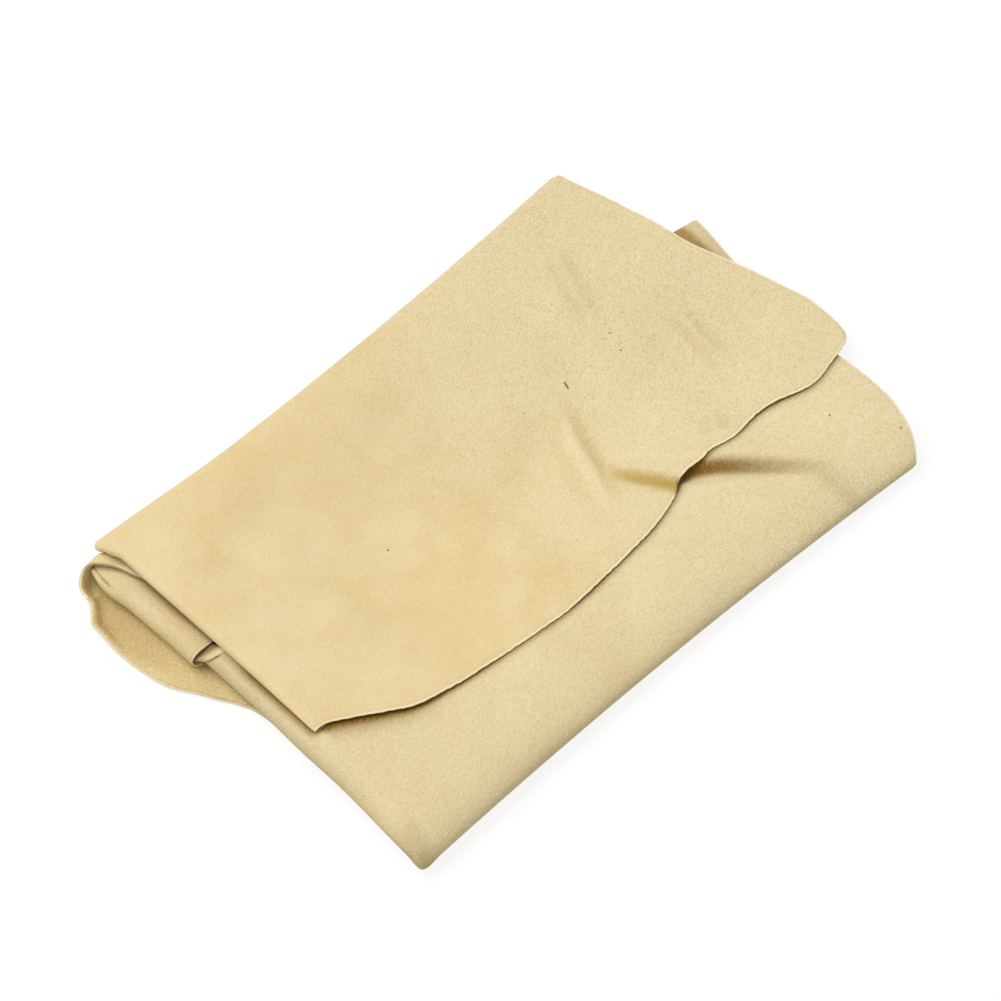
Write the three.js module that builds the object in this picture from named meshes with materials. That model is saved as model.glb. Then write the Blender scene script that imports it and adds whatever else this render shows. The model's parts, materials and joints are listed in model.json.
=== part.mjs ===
// A chamois leather: one suede skin, folded in three like a letter and lying flat.
// X runs along the folds, Y from the front fold to the back fold, Z up. Millimetres.
// The origin is on the underside of the base panel, on the table.
import * as THREE from 'three';

// Skin
const LEATHER = 1.2; // thickness
const PIECE_GAP = 0.3; // between a panel and the bend that continues it
const LAYER_GAP = 0.9; // air between layers that lie on each other

// Front fold, which joins the base to the middle panel
const FRONT_DEPTH = 106.8; // from the origin to the crease, where it bows in most
const FRONT_BOW_X = -40;
const FRONT_BOW_RADIUS = 2780;
const FRONT_LEFT_RADIUS = 9.4;
const FRONT_RIGHT_RADIUS = 7.4;
const FRONT_RIGHT_X = 143; // raw end of the fold

// Back fold, which joins the middle panel to the flap
const BACK_DEPTH = 96.2; // from the origin to the crease, at its left end
const BACK_BOW_X = -130;
const BACK_BOW_RADIUS = 1920;
const BACK_FOLD_RADIUS = 3.6;
const BACK_RIGHT_X = 150;
const BACK_LIFT_RUN = 45; // how far the loop of the back fold lifts the flap

// Left side, where the middle panel and the flap are both turned under
const MIDDLE_SIDE_X = -148;
const MIDDLE_SIDE_BACK = 27;
const MIDDLE_SIDE_REACH = 8.4; // from the outermost line of the roll to where the panel is flat
const MIDDLE_LINING_WIDTH = 38;
const LINING_START = 15; // behind the front crease
const CORNER_EASE = 0.6; // inner radius of the roll as it turns the front corner
const CORNER_POINT = 2.6; // how far the corner stands out beyond a round one
const FLAP_SIDE_X = -144;
const FLAP_SIDE_RADIUS = 2.8;
const FLAP_LINING_WIDTH = 38;
const FLAP_LINING_BACK = 34; // the lining stops this far in front of the back crease
const FLAP_SIDE_RUN = 90; // how far the turned side lifts the flap

// Back edge of the base, turned up and over under the flap
const EDGE_LEFT_OUTSET = 1.3; // of its left end, behind the left end of the back crease
const EDGE_RIGHT_INSET = 44.7; // of its right end, in front of the left end of the back crease
const EDGE_LEFT_X = -155.5;
const EDGE_RIGHT_X = 179;
const EDGE_RIGHT_RADIUS = 3.9;
const EDGE_SLANT = 3; // of the raw end of the bend, below and above its crease
const TUCK_WIDTH = 32;
const TUCK_LEFT_SLOPE = 0.6;
const TUCK_RIGHT_SLOPE = 0.3;
const TAB_ROUNDING = 4;
const DROOP = 8; // of the middle panel where it hangs behind the turned edge
const DROOP_RUN = 61;

// Sag of the middle panel between the front fold, its turned side and the turned edge of the base
const SAG_LEVEL = 6;
const FRONT_SAG_RUN = 95;
const SIDE_SAG_RUN = 110;
const EDGE_SAG_RUN = 70;

// Inner roll, which lies on the base at the left
const ROLL_SIDE_X = -151.5;
const ROLL_RADIUS = 5.9;
const ROLL_FRONT = 31;
const ROLL_WIDTH = 42;

// Wrinkle that runs across the flap and the middle panel
const WRINKLE_DEPTH = 2.2;
const WRINKLE_SPREAD = 11;
const WRINKLE_START = new THREE.Vector2(44, -28);
const WRINKLE_END = new THREE.Vector2(120, -108);
const WRINKLE_RISE = [-0.3, 0.2]; // shares of its length over which it comes in, and over which it goes out
const WRINKLE_FALL = [0.6, 1];

// Raw edges: [x, distance in front of the back crease] and [x, distance behind the front crease]
const FLAP_FRONT_EDGE = [
  [-105.7, 152], [-50.4, 159.1], [-19.5, 160.8], [26.4, 156.9], [46.9, 152.1], [58.2, 146.2], [66, 142.2],
  [78, 142], [97, 144.9], [112, 143.7], [124, 145.3], [141, 149.9], [157, 146.8],
];
const FLAP_LEFT_CORNER = 134.8;
const FLAP_TIP = [169, 143.5];
const FLAP_RIGHT_EDGE = [[177, 130], [177.8, 110.3], [168, 74.7], [161.5, 53], [157.8, 19.7], [154.4, 2.3]];
const MIDDLE_RIGHT_EDGE = [
  [153.6, 9], [159.5, 26.6], [163.5, 44.1], [165.5, 58.4], [166, 87], [160, 137], [154, 177],
];
const BASE_LEFT_EDGE = [
  [-142, 57], [-144, 99], [-148, 112], [-156.6, 127], [-163.8, 139], [-167, 162], [-166.3, 182.5],
];
const BASE_LEFT_X = -141;
const BASE_RIGHT_EDGE = [[150, 47], [163, 107], [170, 124]];

// Levels of the middle of each layer, from the table up
const BASE_LEVEL = LEATHER / 2;
const LAYER = LEATHER + LAYER_GAP;
const INNER_LEVEL = BASE_LEVEL + LAYER; // of what lies on the base
const ROLL_BEND = ROLL_RADIUS - LEATHER / 2;
const ROLL_TOP = INNER_LEVEL + 2 * ROLL_BEND;
const EDGE_LEFT_RADIUS = (ROLL_TOP + LAYER + LEATHER / 2) / 2;
const BACK_BEND = BACK_FOLD_RADIUS - LEATHER / 2;
const FLAP_BEND = FLAP_SIDE_RADIUS - LEATHER / 2;

// Lines where the panels end and the bends begin
const MIDDLE_LEFT = MIDDLE_SIDE_X + MIDDLE_SIDE_REACH;
const FLAP_LEFT = FLAP_SIDE_X + FLAP_SIDE_RADIUS;
const ROLL_LEFT = ROLL_SIDE_X + ROLL_RADIUS;

const { lerp, smoothstep } = THREE.MathUtils;

function frontRadius(x) {
  return lerp(FRONT_LEFT_RADIUS, FRONT_RIGHT_RADIUS, (x - MIDDLE_SIDE_X) / (FRONT_RIGHT_X - MIDDLE_SIDE_X));
}

function frontCrease(x) {
  return -FRONT_DEPTH - (x - FRONT_BOW_X) ** 2 / (2 * FRONT_BOW_RADIUS);
}

function frontPanelLine(x) {
  return frontCrease(x) + frontRadius(x);
}

function backCrease(x) {
  return BACK_DEPTH + (x - BACK_BOW_X) ** 2 / (2 * BACK_BOW_RADIUS);
}

function backPanelLine(x) {
  return backCrease(x) - BACK_FOLD_RADIUS;
}

function alongEdge(x) {
  return (x - EDGE_LEFT_X) / (EDGE_RIGHT_X - EDGE_LEFT_X);
}

function edgeRadius(x) {
  return lerp(EDGE_LEFT_RADIUS, EDGE_RIGHT_RADIUS, alongEdge(x));
}

function edgeCrease(x) {
  return lerp(BACK_DEPTH + EDGE_LEFT_OUTSET, BACK_DEPTH - EDGE_RIGHT_INSET, alongEdge(x));
}

function edgePanelLine(x) {
  return edgeCrease(x) - edgeRadius(x);
}

// How far the wrinkle lowers the middle panel and the flap
function wrinkle(x, y) {
  const line = WRINKLE_END.clone().sub(WRINKLE_START);
  const point = new THREE.Vector2(x, y).sub(WRINKLE_START);
  const along = point.dot(line) / line.lengthSq();
  const across = point.cross(line) / line.length();
  const fade = smoothstep(along, ...WRINKLE_RISE) * (1 - smoothstep(along, ...WRINKLE_FALL));
  return WRINKLE_DEPTH * fade * Math.exp(-((across / WRINKLE_SPREAD) ** 2));
}

// Height of the middle panel: held up along the front fold, its turned side and the turned edge of the
// base, it sags between them, and droops behind that edge
function middleLevel(x, y) {
  const front = 2 * frontRadius(x) - LEATHER / 2;
  const onEdge = 2 * edgeRadius(x) + LAYER_GAP + LEATHER / 2;
  const held = lerp(front, onEdge, smoothstep(y, frontPanelLine(x), edgeCrease(x)));
  const fromFront = smoothstep(y - frontPanelLine(x), 0, FRONT_SAG_RUN);
  const fromSide = smoothstep(x - MIDDLE_LEFT, 0, SIDE_SAG_RUN);
  const fromEdge = smoothstep(edgeCrease(x) - y, 0, EDGE_SAG_RUN);
  const sag = (held - SAG_LEVEL) * fromFront * fromSide * fromEdge;
  const overhang = Math.max(backPanelLine(x) - edgeCrease(x), 0);
  const hang = overhang > 0 ? smoothstep(y, edgeCrease(x), backPanelLine(x)) : 0;
  const drop = DROOP * (overhang / DROOP_RUN) ** 2 * hang;
  return held - sag - drop - wrinkle(x, y);
}

// Height of the flap: one layer above the middle panel, lifted along its back fold and its turned side
function flapLevel(x, y) {
  const backLift = 1 - smoothstep(backPanelLine(x) - y, 0, BACK_LIFT_RUN);
  const sideLift = 1 - smoothstep(x - FLAP_LEFT, 0, FLAP_SIDE_RUN);
  const loop = (2 * BACK_BEND - LAYER) * backLift;
  return middleLevel(x, y) + LAYER + loop + 2 * FLAP_BEND * sideLift * (1 - backLift);
}

// Columns and rows of the mesh of each kind of sheet
const BASE_GRID = [20, 8];
const PANEL_GRID = [24, 16];
const FOLD_GRID = [20, 4];
const MIDDLE_SIDE_GRID = [16, 6];
const FLAP_SIDE_GRID = [14, 6];
const LINING_GRID = [6, 8];
const ROLL_LOWER_GRID = [6, 4];
const ROLL_BEND_GRID = [8, 6];
const ROLL_UPPER_GRID = [8, 4];
const SLOPE_STEP = 1e-3; // share of a sheet over which its slope is taken

// A closed sheet of leather around the surface middle(u, v)
function leatherSheet(name, colour, middle, [columns, rows]) {
  const positions = [];
  for (const side of [1, -1]) {
    for (let row = 0; row <= rows; row += 1) {
      for (let column = 0; column <= columns; column += 1) {
        const u = column / columns;
        const v = row / rows;
        const alongU = middle(Math.min(u + SLOPE_STEP, 1), v).sub(middle(Math.max(u - SLOPE_STEP, 0), v));
        const alongV = middle(u, Math.min(v + SLOPE_STEP, 1)).sub(middle(u, Math.max(v - SLOPE_STEP, 0)));
        const normal = alongU.cross(alongV).normalize();
        positions.push(...middle(u, v).addScaledVector(normal, (side * LEATHER) / 2));
      }
    }
  }
  const faceSize = (columns + 1) * (rows + 1);
  const at = (side, column, row) => side * faceSize + row * (columns + 1) + column;
  const triangles = [];
  const quad = (a, b, c, d) => triangles.push(a, b, c, a, c, d);
  for (let row = 0; row < rows; row += 1) {
    for (let column = 0; column < columns; column += 1) {
      quad(at(0, column, row), at(0, column + 1, row), at(0, column + 1, row + 1), at(0, column, row + 1));
      quad(at(1, column, row), at(1, column, row + 1), at(1, column + 1, row + 1), at(1, column + 1, row));
    }
    quad(at(0, 0, row), at(0, 0, row + 1), at(1, 0, row + 1), at(1, 0, row));
    quad(at(0, columns, row + 1), at(0, columns, row), at(1, columns, row), at(1, columns, row + 1));
  }
  for (let column = 0; column < columns; column += 1) {
    quad(at(0, column + 1, 0), at(0, column, 0), at(1, column, 0), at(1, column + 1, 0));
    quad(at(0, column, rows), at(0, column + 1, rows), at(1, column + 1, rows), at(1, column, rows));
  }
  const geometry = new THREE.BufferGeometry();
  geometry.setAttribute('position', new THREE.Float32BufferAttribute(positions, 3));
  geometry.setIndex(triangles);
  const suede = new THREE.MeshStandardMaterial({ color: colour, roughness: 0.95, metalness: 0 });
  const mesh = new THREE.Mesh(geometry, suede);
  mesh.name = name;
  return mesh;
}

const NAP = 0xe4d2a5; // pale outer side
const FLESH = 0xd0b982; // darker, rougher inner side

// The plan of a panel between four edges that meet at its corners
function panelPlan(front, back, left, right) {
  const corners = [front.getPoint(0), front.getPoint(1), back.getPoint(0), back.getPoint(1)];
  return (u, v) => {
    const plan = front.getPoint(u).multiplyScalar(1 - v);
    plan.addScaledVector(back.getPoint(u), v);
    plan.addScaledVector(left.getPointAt(v), 1 - u);
    plan.addScaledVector(right.getPointAt(v), u);
    plan.addScaledVector(corners[0], -(1 - u) * (1 - v));
    plan.addScaledVector(corners[1], -u * (1 - v));
    plan.addScaledVector(corners[2], -(1 - u) * v);
    plan.addScaledVector(corners[3], -u * v);
    return plan;
  };
}

// A straight or bowed edge that follows y = line(x)
class EdgeAlong extends THREE.Curve {
  constructor(line, fromX, toX) {
    super();
    this.line = line;
    this.fromX = fromX;
    this.toX = toX;
  }

  getPoint(t) {
    const x = lerp(this.fromX, this.toX, t);
    return new THREE.Vector2(x, this.line(x));
  }
}

function spline(points) {
  return new THREE.SplineCurve(points.map(([x, y]) => new THREE.Vector2(x, y)));
}

function behindFront([x, distance]) {
  return [x, distance - FRONT_DEPTH];
}

function beforeBack([x, distance]) {
  return [x, BACK_DEPTH - distance];
}

function basePanel() {
  const frontLine = (x) => frontPanelLine(x) + PIECE_GAP;
  const backLine = (x) => edgePanelLine(x) - PIECE_GAP;
  const front = new EdgeAlong(frontLine, BASE_LEFT_X, FRONT_RIGHT_X - TAB_ROUNDING);
  const back = new EdgeAlong(backLine, EDGE_LEFT_X - EDGE_SLANT, EDGE_RIGHT_X - TAB_ROUNDING);
  const leftEdge = BASE_LEFT_EDGE.map(behindFront);
  const rightEdge = BASE_RIGHT_EDGE.map(behindFront);
  const left = spline([front.getPoint(0).toArray(), ...leftEdge, back.getPoint(0).toArray()]);
  const right = spline([front.getPoint(1).toArray(), ...rightEdge, back.getPoint(1).toArray()]);
  const plan = panelPlan(front, back, left, right);
  const middle = (u, v) => new THREE.Vector3(...plan(u, v), BASE_LEVEL);
  return leatherSheet('base_panel', FLESH, middle, BASE_GRID);
}

// A quarter of the front fold, from the angle where it starts to where it ends, 0 at its top
function frontQuarter(name, startAngle, endAngle) {
  const middle = (u, v) => {
    const angle = lerp(startAngle, endAngle, v);
    const rightX = FRONT_RIGHT_X + TAB_ROUNDING * Math.cos(angle);
    const x = lerp(MIDDLE_LEFT + PIECE_GAP, rightX, u);
    const radius = frontRadius(x);
    const bend = radius - LEATHER / 2;
    const y = frontPanelLine(x) - bend * Math.sin(angle);
    return new THREE.Vector3(x, y, radius + bend * Math.cos(angle));
  };
  return leatherSheet(name, NAP, (u, v) => middle(1 - u, v), FOLD_GRID);
}

const GAP_ANGLE = PIECE_GAP / FRONT_RIGHT_RADIUS;
const frontFoldUpper = () => frontQuarter('front_fold_upper', 0, Math.PI / 2 - GAP_ANGLE / 2);
const frontFoldLower = () => frontQuarter('front_fold_lower', Math.PI / 2 + GAP_ANGLE / 2, Math.PI);

function middlePanel() {
  const frontLine = (x) => frontPanelLine(x) + PIECE_GAP;
  const backLine = (x) => backPanelLine(x) - PIECE_GAP;
  const leftX = MIDDLE_LEFT + PIECE_GAP;
  const front = new EdgeAlong(frontLine, leftX, FRONT_RIGHT_X + TAB_ROUNDING);
  const back = new EdgeAlong(backLine, leftX, BACK_RIGHT_X);
  const left = spline([front.getPoint(0).toArray(), back.getPoint(0).toArray()]);
  const rightEdge = MIDDLE_RIGHT_EDGE.map(behindFront);
  const right = spline([front.getPoint(1).toArray(), ...rightEdge, back.getPoint(1).toArray()]);
  const plan = panelPlan(front, back, left, right);
  const middle = (u, v) => {
    const { x, y } = plan(u, v);
    return new THREE.Vector3(x, y, middleLevel(x, y));
  };
  return leatherSheet('middle_panel', NAP, middle, PANEL_GRID);
}

// The roll down the left side of the middle panel, which also turns the front corner
function middleSideBend() {
  const cornerY = frontPanelLine(MIDDLE_LEFT);
  const straight = MIDDLE_SIDE_BACK - cornerY;
  const turn = (Math.PI / 2) * MIDDLE_SIDE_REACH;
  const middle = (u, v) => {
    const along = u * (straight + turn);
    const heading = (Math.max(along - straight, 0) / turn) * (Math.PI / 2);
    const y = MIDDLE_SIDE_BACK - Math.min(along, straight);
    const angle = v * Math.PI;
    const top = middleLevel(MIDDLE_LEFT, y);
    const rise = (top - INNER_LEVEL) / 2;
    const turned = heading / (Math.PI / 2);
    const corner = CORNER_POINT * Math.sin(2 * heading) ** 2;
    const reach = lerp(MIDDLE_SIDE_REACH, frontRadius(MIDDLE_LEFT), turned) + corner - LEATHER / 2;
    const out = CORNER_EASE + (reach - CORNER_EASE) * Math.sin(angle);
    const height = INNER_LEVEL + rise + rise * Math.cos(angle);
    return new THREE.Vector3(MIDDLE_LEFT - out * Math.cos(heading), y - out * Math.sin(heading), height);
  };
  return leatherSheet('middle_side_bend', NAP, (u, v) => middle(1 - u, v), MIDDLE_SIDE_GRID);
}

function middleLining() {
  const startX = MIDDLE_LEFT - CORNER_EASE + PIECE_GAP;
  const middle = (u, v) => {
    const x = startX + u * MIDDLE_LINING_WIDTH;
    const y = lerp(frontCrease(x) + LINING_START, MIDDLE_SIDE_BACK, v);
    return new THREE.Vector3(x, y, INNER_LEVEL);
  };
  return leatherSheet('middle_lining', FLESH, middle, LINING_GRID);
}

// A quarter of the back fold, 0 where it lies furthest back
function backQuarter(name, startAngle, endAngle) {
  const middle = (u, v) => {
    const angle = lerp(startAngle, endAngle, v);
    const x = lerp(FLAP_LEFT + PIECE_GAP, BACK_RIGHT_X, u);
    const y = backPanelLine(x) + BACK_BEND * Math.cos(angle);
    const level = middleLevel(x, backPanelLine(x)) + BACK_BEND;
    return new THREE.Vector3(x, y, level + BACK_BEND * Math.sin(angle));
  };
  return leatherSheet(name, NAP, middle, FOLD_GRID);
}

const BACK_GAP_ANGLE = PIECE_GAP / BACK_BEND;
const backFoldLower = () => backQuarter('back_fold_lower', -Math.PI / 2, -BACK_GAP_ANGLE / 2);
const backFoldUpper = () => backQuarter('back_fold_upper', BACK_GAP_ANGLE / 2, Math.PI / 2);

function topFlap() {
  const leftX = FLAP_LEFT + PIECE_GAP;
  const leftCorner = beforeBack([leftX, FLAP_LEFT_CORNER]);
  const tip = beforeBack(FLAP_TIP);
  const front = spline([leftCorner, ...FLAP_FRONT_EDGE.map(beforeBack), tip]);
  const back = new EdgeAlong((x) => backPanelLine(x) - PIECE_GAP, leftX, BACK_RIGHT_X);
  const left = spline([leftCorner, back.getPoint(0).toArray()]);
  const right = spline([tip, ...FLAP_RIGHT_EDGE.map(beforeBack), back.getPoint(1).toArray()]);
  const plan = panelPlan(front, back, left, right);
  const middle = (u, v) => {
    const { x, y } = plan(u, v);
    return new THREE.Vector3(x, y, flapLevel(x, y));
  };
  return leatherSheet('top_flap', NAP, middle, PANEL_GRID);
}

// The tight bend down the left side of the flap
function flapSideBend() {
  const frontY = BACK_DEPTH - FLAP_LEFT_CORNER;
  const backY = backPanelLine(FLAP_LEFT);
  const middle = (u, v) => {
    const y = lerp(frontY, backY, u);
    const angle = v * Math.PI;
    const top = flapLevel(FLAP_LEFT, y);
    const bottom = middleLevel(FLAP_LEFT, y) + LAYER;
    const rise = (top - bottom) / 2;
    const x = FLAP_LEFT - FLAP_BEND * Math.sin(angle);
    return new THREE.Vector3(x, y, bottom + rise + rise * Math.cos(angle));
  };
  return leatherSheet('flap_side_bend', NAP, middle, FLAP_SIDE_GRID);
}

function flapLining() {
  const frontY = BACK_DEPTH - FLAP_LEFT_CORNER;
  const backY = backCrease(FLAP_LEFT) - FLAP_LINING_BACK;
  const middle = (u, v) => {
    const x = FLAP_LEFT + PIECE_GAP + u * FLAP_LINING_WIDTH;
    const y = lerp(frontY, backY, v);
    return new THREE.Vector3(x, y, middleLevel(x, y) + LAYER);
  };
  return leatherSheet('flap_lining', FLESH, middle, LINING_GRID);
}

// A quarter of the bend along the base's back edge, 0 where it lies furthest back.
// Its left end slants with the raw edge of the skin and its right end is a rounded tab.
function edgeQuarter(name, startAngle, endAngle) {
  const middle = (u, v) => {
    const angle = lerp(startAngle, endAngle, v);
    const slant = Math.sin(angle) > 0 ? 2 * EDGE_SLANT : EDGE_SLANT;
    const leftX = EDGE_LEFT_X + slant * Math.sin(angle);
    const rightX = EDGE_RIGHT_X - TAB_ROUNDING * Math.sin(angle) ** 2;
    const x = lerp(leftX, rightX, u);
    const radius = edgeRadius(x);
    const bend = radius - LEATHER / 2;
    const y = edgePanelLine(x) + bend * Math.cos(angle);
    return new THREE.Vector3(x, y, radius + bend * Math.sin(angle));
  };
  return leatherSheet(name, NAP, middle, FOLD_GRID);
}

const EDGE_GAP_ANGLE = PIECE_GAP / EDGE_RIGHT_RADIUS;
const backEdgeBendLower = () => edgeQuarter('back_edge_bend_lower', -Math.PI / 2, -EDGE_GAP_ANGLE / 2);
const backEdgeBendUpper = () => edgeQuarter('back_edge_bend_upper', EDGE_GAP_ANGLE / 2, Math.PI / 2);

// The tucked edge lies on the inner roll at the left and comes down onto the base beyond it
function tuckedEdge() {
  const middle = (u, v) => {
    const inward = v * TUCK_WIDTH;
    const leftX = EDGE_LEFT_X + 2 * EDGE_SLANT + inward * TUCK_LEFT_SLOPE;
    const x = lerp(leftX, EDGE_RIGHT_X - TAB_ROUNDING - inward * TUCK_RIGHT_SLOPE, u);
    const y = edgePanelLine(x) - PIECE_GAP - inward;
    const onBase = smoothstep(x - ROLL_LEFT - ROLL_WIDTH, 0, ROLL_WIDTH);
    const rest = lerp(rollLevel(x) + LAYER, INNER_LEVEL, onBase);
    const level = lerp(2 * edgeRadius(x) - LEATHER / 2, rest, smoothstep(v, 0, 1));
    return new THREE.Vector3(x, y, level);
  };
  return leatherSheet('tucked_edge', FLESH, (u, v) => middle(1 - u, v), FOLD_GRID);
}

// Height of the upper layer of the inner roll, which comes down onto the lower one as it goes in
function rollLevel(x) {
  return lerp(ROLL_TOP, INNER_LEVEL + LAYER, smoothstep(x - ROLL_LEFT, 0, ROLL_WIDTH));
}

// The inner roll runs back until it meets the bend of the turned edge
function alongRoll(x, share) {
  return lerp(ROLL_FRONT, edgePanelLine(x) - LAYER_GAP, share);
}

function innerRollLower() {
  const middle = (u, v) => {
    const x = ROLL_LEFT + PIECE_GAP + u * ROLL_WIDTH;
    return new THREE.Vector3(x, alongRoll(x, v), INNER_LEVEL);
  };
  return leatherSheet('inner_roll_lower', FLESH, middle, ROLL_LOWER_GRID);
}

function innerRollBend() {
  const middle = (u, v) => {
    const angle = v * Math.PI;
    const x = ROLL_LEFT - ROLL_BEND * Math.sin(angle);
    const height = INNER_LEVEL + ROLL_BEND + ROLL_BEND * Math.cos(angle);
    return new THREE.Vector3(x, alongRoll(x, u), height);
  };
  return leatherSheet('inner_roll_bend', NAP, middle, ROLL_BEND_GRID);
}

function innerRollUpper() {
  const middle = (u, v) => {
    const x = ROLL_LEFT + PIECE_GAP + u * ROLL_WIDTH;
    return new THREE.Vector3(x, alongRoll(x, v), rollLevel(x));
  };
  return leatherSheet('inner_roll_upper', NAP, middle, ROLL_UPPER_GRID);
}

const chamois = new THREE.Group();
chamois.add(basePanel(), frontFoldLower(), backEdgeBendLower());
chamois.add(backEdgeBendUpper(), tuckedEdge());
chamois.add(innerRollLower(), innerRollBend(), innerRollUpper());
chamois.add(frontFoldUpper(), middlePanel(), middleSideBend(), middleLining(), backFoldLower());
chamois.add(backFoldUpper(), topFlap(), flapSideBend(), flapLining());

export default chamois;
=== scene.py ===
import json
import math

import bpy
import numpy as np
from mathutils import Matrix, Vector


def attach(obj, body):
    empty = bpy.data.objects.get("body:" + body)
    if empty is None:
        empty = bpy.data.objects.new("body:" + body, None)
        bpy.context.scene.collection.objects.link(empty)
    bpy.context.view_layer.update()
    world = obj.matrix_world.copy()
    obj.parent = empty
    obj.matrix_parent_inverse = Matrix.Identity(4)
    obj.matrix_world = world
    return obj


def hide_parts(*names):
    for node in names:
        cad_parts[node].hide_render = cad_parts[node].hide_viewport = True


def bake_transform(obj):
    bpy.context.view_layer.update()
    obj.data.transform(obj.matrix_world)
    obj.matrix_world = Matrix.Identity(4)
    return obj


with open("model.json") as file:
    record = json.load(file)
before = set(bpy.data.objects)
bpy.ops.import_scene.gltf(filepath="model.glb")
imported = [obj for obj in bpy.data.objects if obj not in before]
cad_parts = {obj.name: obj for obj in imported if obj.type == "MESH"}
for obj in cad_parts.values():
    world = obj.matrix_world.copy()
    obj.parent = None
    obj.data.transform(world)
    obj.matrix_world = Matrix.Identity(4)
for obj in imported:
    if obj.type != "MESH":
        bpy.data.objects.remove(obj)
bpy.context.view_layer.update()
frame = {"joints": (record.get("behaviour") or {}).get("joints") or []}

# The camera looks down over the front left corner of the folded skin, as the photograph does,
# through a long lens. Its angles are those of the other views: azimuth 0 looks along +Y.
CAMERA_AZIMUTH = math.radians(-44.5)
CAMERA_ELEVATION = math.radians(54)
CAMERA_DISTANCE = 1.446
CAMERA_TARGET = Vector((0, 0, 0.008))
CAMERA_LENS = 120
CAMERA_SENSOR = 36


def add_object(name, data):
    made = bpy.data.objects.new(name, data)
    bpy.context.scene.collection.objects.link(made)
    return made


camera = add_object("camera", bpy.data.cameras.new("camera"))
bpy.context.scene.camera = camera
camera.data.lens = CAMERA_LENS
camera.data.sensor_width = CAMERA_SENSOR
from_target = Vector((
    math.sin(CAMERA_AZIMUTH) * math.cos(CAMERA_ELEVATION),
    -math.cos(CAMERA_AZIMUTH) * math.cos(CAMERA_ELEVATION),
    math.sin(CAMERA_ELEVATION),
))
camera.location = CAMERA_TARGET + CAMERA_DISTANCE * from_target
camera.rotation_mode = "QUATERNION"
camera.rotation_quaternion = (-from_target).to_track_quat("-Z", "Y")
bpy.context.scene.view_settings.view_transform = "Standard"


# The table is a plain white sheet, which the camera sees as white, and which keeps the soft shadow
# of the skin. Light comes from a warm white room and from one large soft lamp, high up behind its left.
def linear(hex_colour):
    """The linear colour of an sRGB hex value, with full alpha."""
    parts = [int(hex_colour[i:i + 2], 16) / 255 for i in (0, 2, 4)]
    return [c / 12.92 if c <= 0.04045 else ((c + 0.055) / 1.055) ** 2.4 for c in parts] + [1]


def add_node(tree, kind, inputs=None, **settings):
    """Adds a shader node with its settings, and fills its inputs with values or with others' outputs."""
    made = tree.nodes.new("ShaderNode" + kind)
    for name, value in settings.items():
        setattr(made, name, value)
    for name, value in (inputs or {}).items():
        if isinstance(value, bpy.types.NodeSocket):
            tree.links.new(value, made.inputs[name])
        else:
            made.inputs[name].default_value = value
    return made


WHITE = "FFFFFF"
TABLE_GLEAM = "CCCCCC"  # the colour of the light that the table throws back up
TABLE_SIZE = 8
TABLE_SHADOW = 0.14  # how much of the shadow on the table the camera sees
ROOM_LIGHT = 0.57
ROOM_COLOUR = "FFFBF1"
LAMP_POWER = 196
LAMP_SIZE = 3.6
LAMP_PLACE = Vector((-1.4, 1.8, 4.9))


def seen_directly(tree):
    """1 where the camera, a reflection or a see-through surface looks straight at it, and 0 for its light."""
    ray = add_node(tree, "LightPath").outputs
    mirrored = {0: ray["Is Glossy Ray"], 1: ray["Is Transmission Ray"]}
    mirrored = add_node(tree, "Math", mirrored, operation="MAXIMUM").outputs[0]
    return add_node(tree, "Math", {0: ray["Is Camera Ray"], 1: mirrored}, operation="MAXIMUM").outputs[0]


table_white = bpy.data.materials.new("matt_white_table")
table_white.use_nodes = True
tree = table_white.node_tree
tree.nodes.clear()
seen = seen_directly(tree)
share = add_node(tree, "Math", {0: seen, 1: 1 - TABLE_SHADOW}, operation="MULTIPLY")
tone = add_node(tree, "Mix", {0: seen, 6: linear(TABLE_GLEAM), 7: linear(WHITE)}, data_type="RGBA")
paint = add_node(tree, "BsdfDiffuse", {"Color": tone.outputs[2]})
glow = add_node(tree, "Emission", {"Color": linear(WHITE), "Strength": 1})
both = add_node(tree, "MixShader", {0: share.outputs[0], 1: paint.outputs[0], 2: glow.outputs[0]})
add_node(tree, "OutputMaterial", {"Surface": both.outputs[0]})
table_mesh = bpy.data.meshes.new("table")
half_sides = ((-0.5, -0.5), (0.5, -0.5), (0.5, 0.5), (-0.5, 0.5))
table_corners = [(TABLE_SIZE * x, TABLE_SIZE * y, 0) for x, y in half_sides]
table_mesh.from_pydata(table_corners, [], [(0, 1, 2, 3)])
table_mesh.materials.append(table_white)
table = add_object("table", table_mesh)

room = bpy.data.worlds.new("white_room")
bpy.context.scene.world = room
room.use_nodes = True
tree = room.node_tree
tree.nodes.clear()
seen = seen_directly(tree)
level = add_node(tree, "MapRange", {"Value": seen, "To Min": ROOM_LIGHT})
tone = add_node(tree, "Mix", {0: seen, 6: linear(ROOM_COLOUR), 7: linear(WHITE)}, data_type="RGBA")
wall = add_node(tree, "Background", {"Color": tone.outputs[2], "Strength": level.outputs[0]})
add_node(tree, "OutputWorld", {"Surface": wall.outputs[0]})

lamp = add_object("soft_lamp", bpy.data.lights.new("soft_lamp", "AREA"))
lamp.data.energy = LAMP_POWER
lamp.data.size = LAMP_SIZE
lamp.location = LAMP_PLACE
lamp.rotation_mode = "QUATERNION"
lamp.rotation_quaternion = (-LAMP_PLACE).to_track_quat("-Z", "Y")

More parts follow.
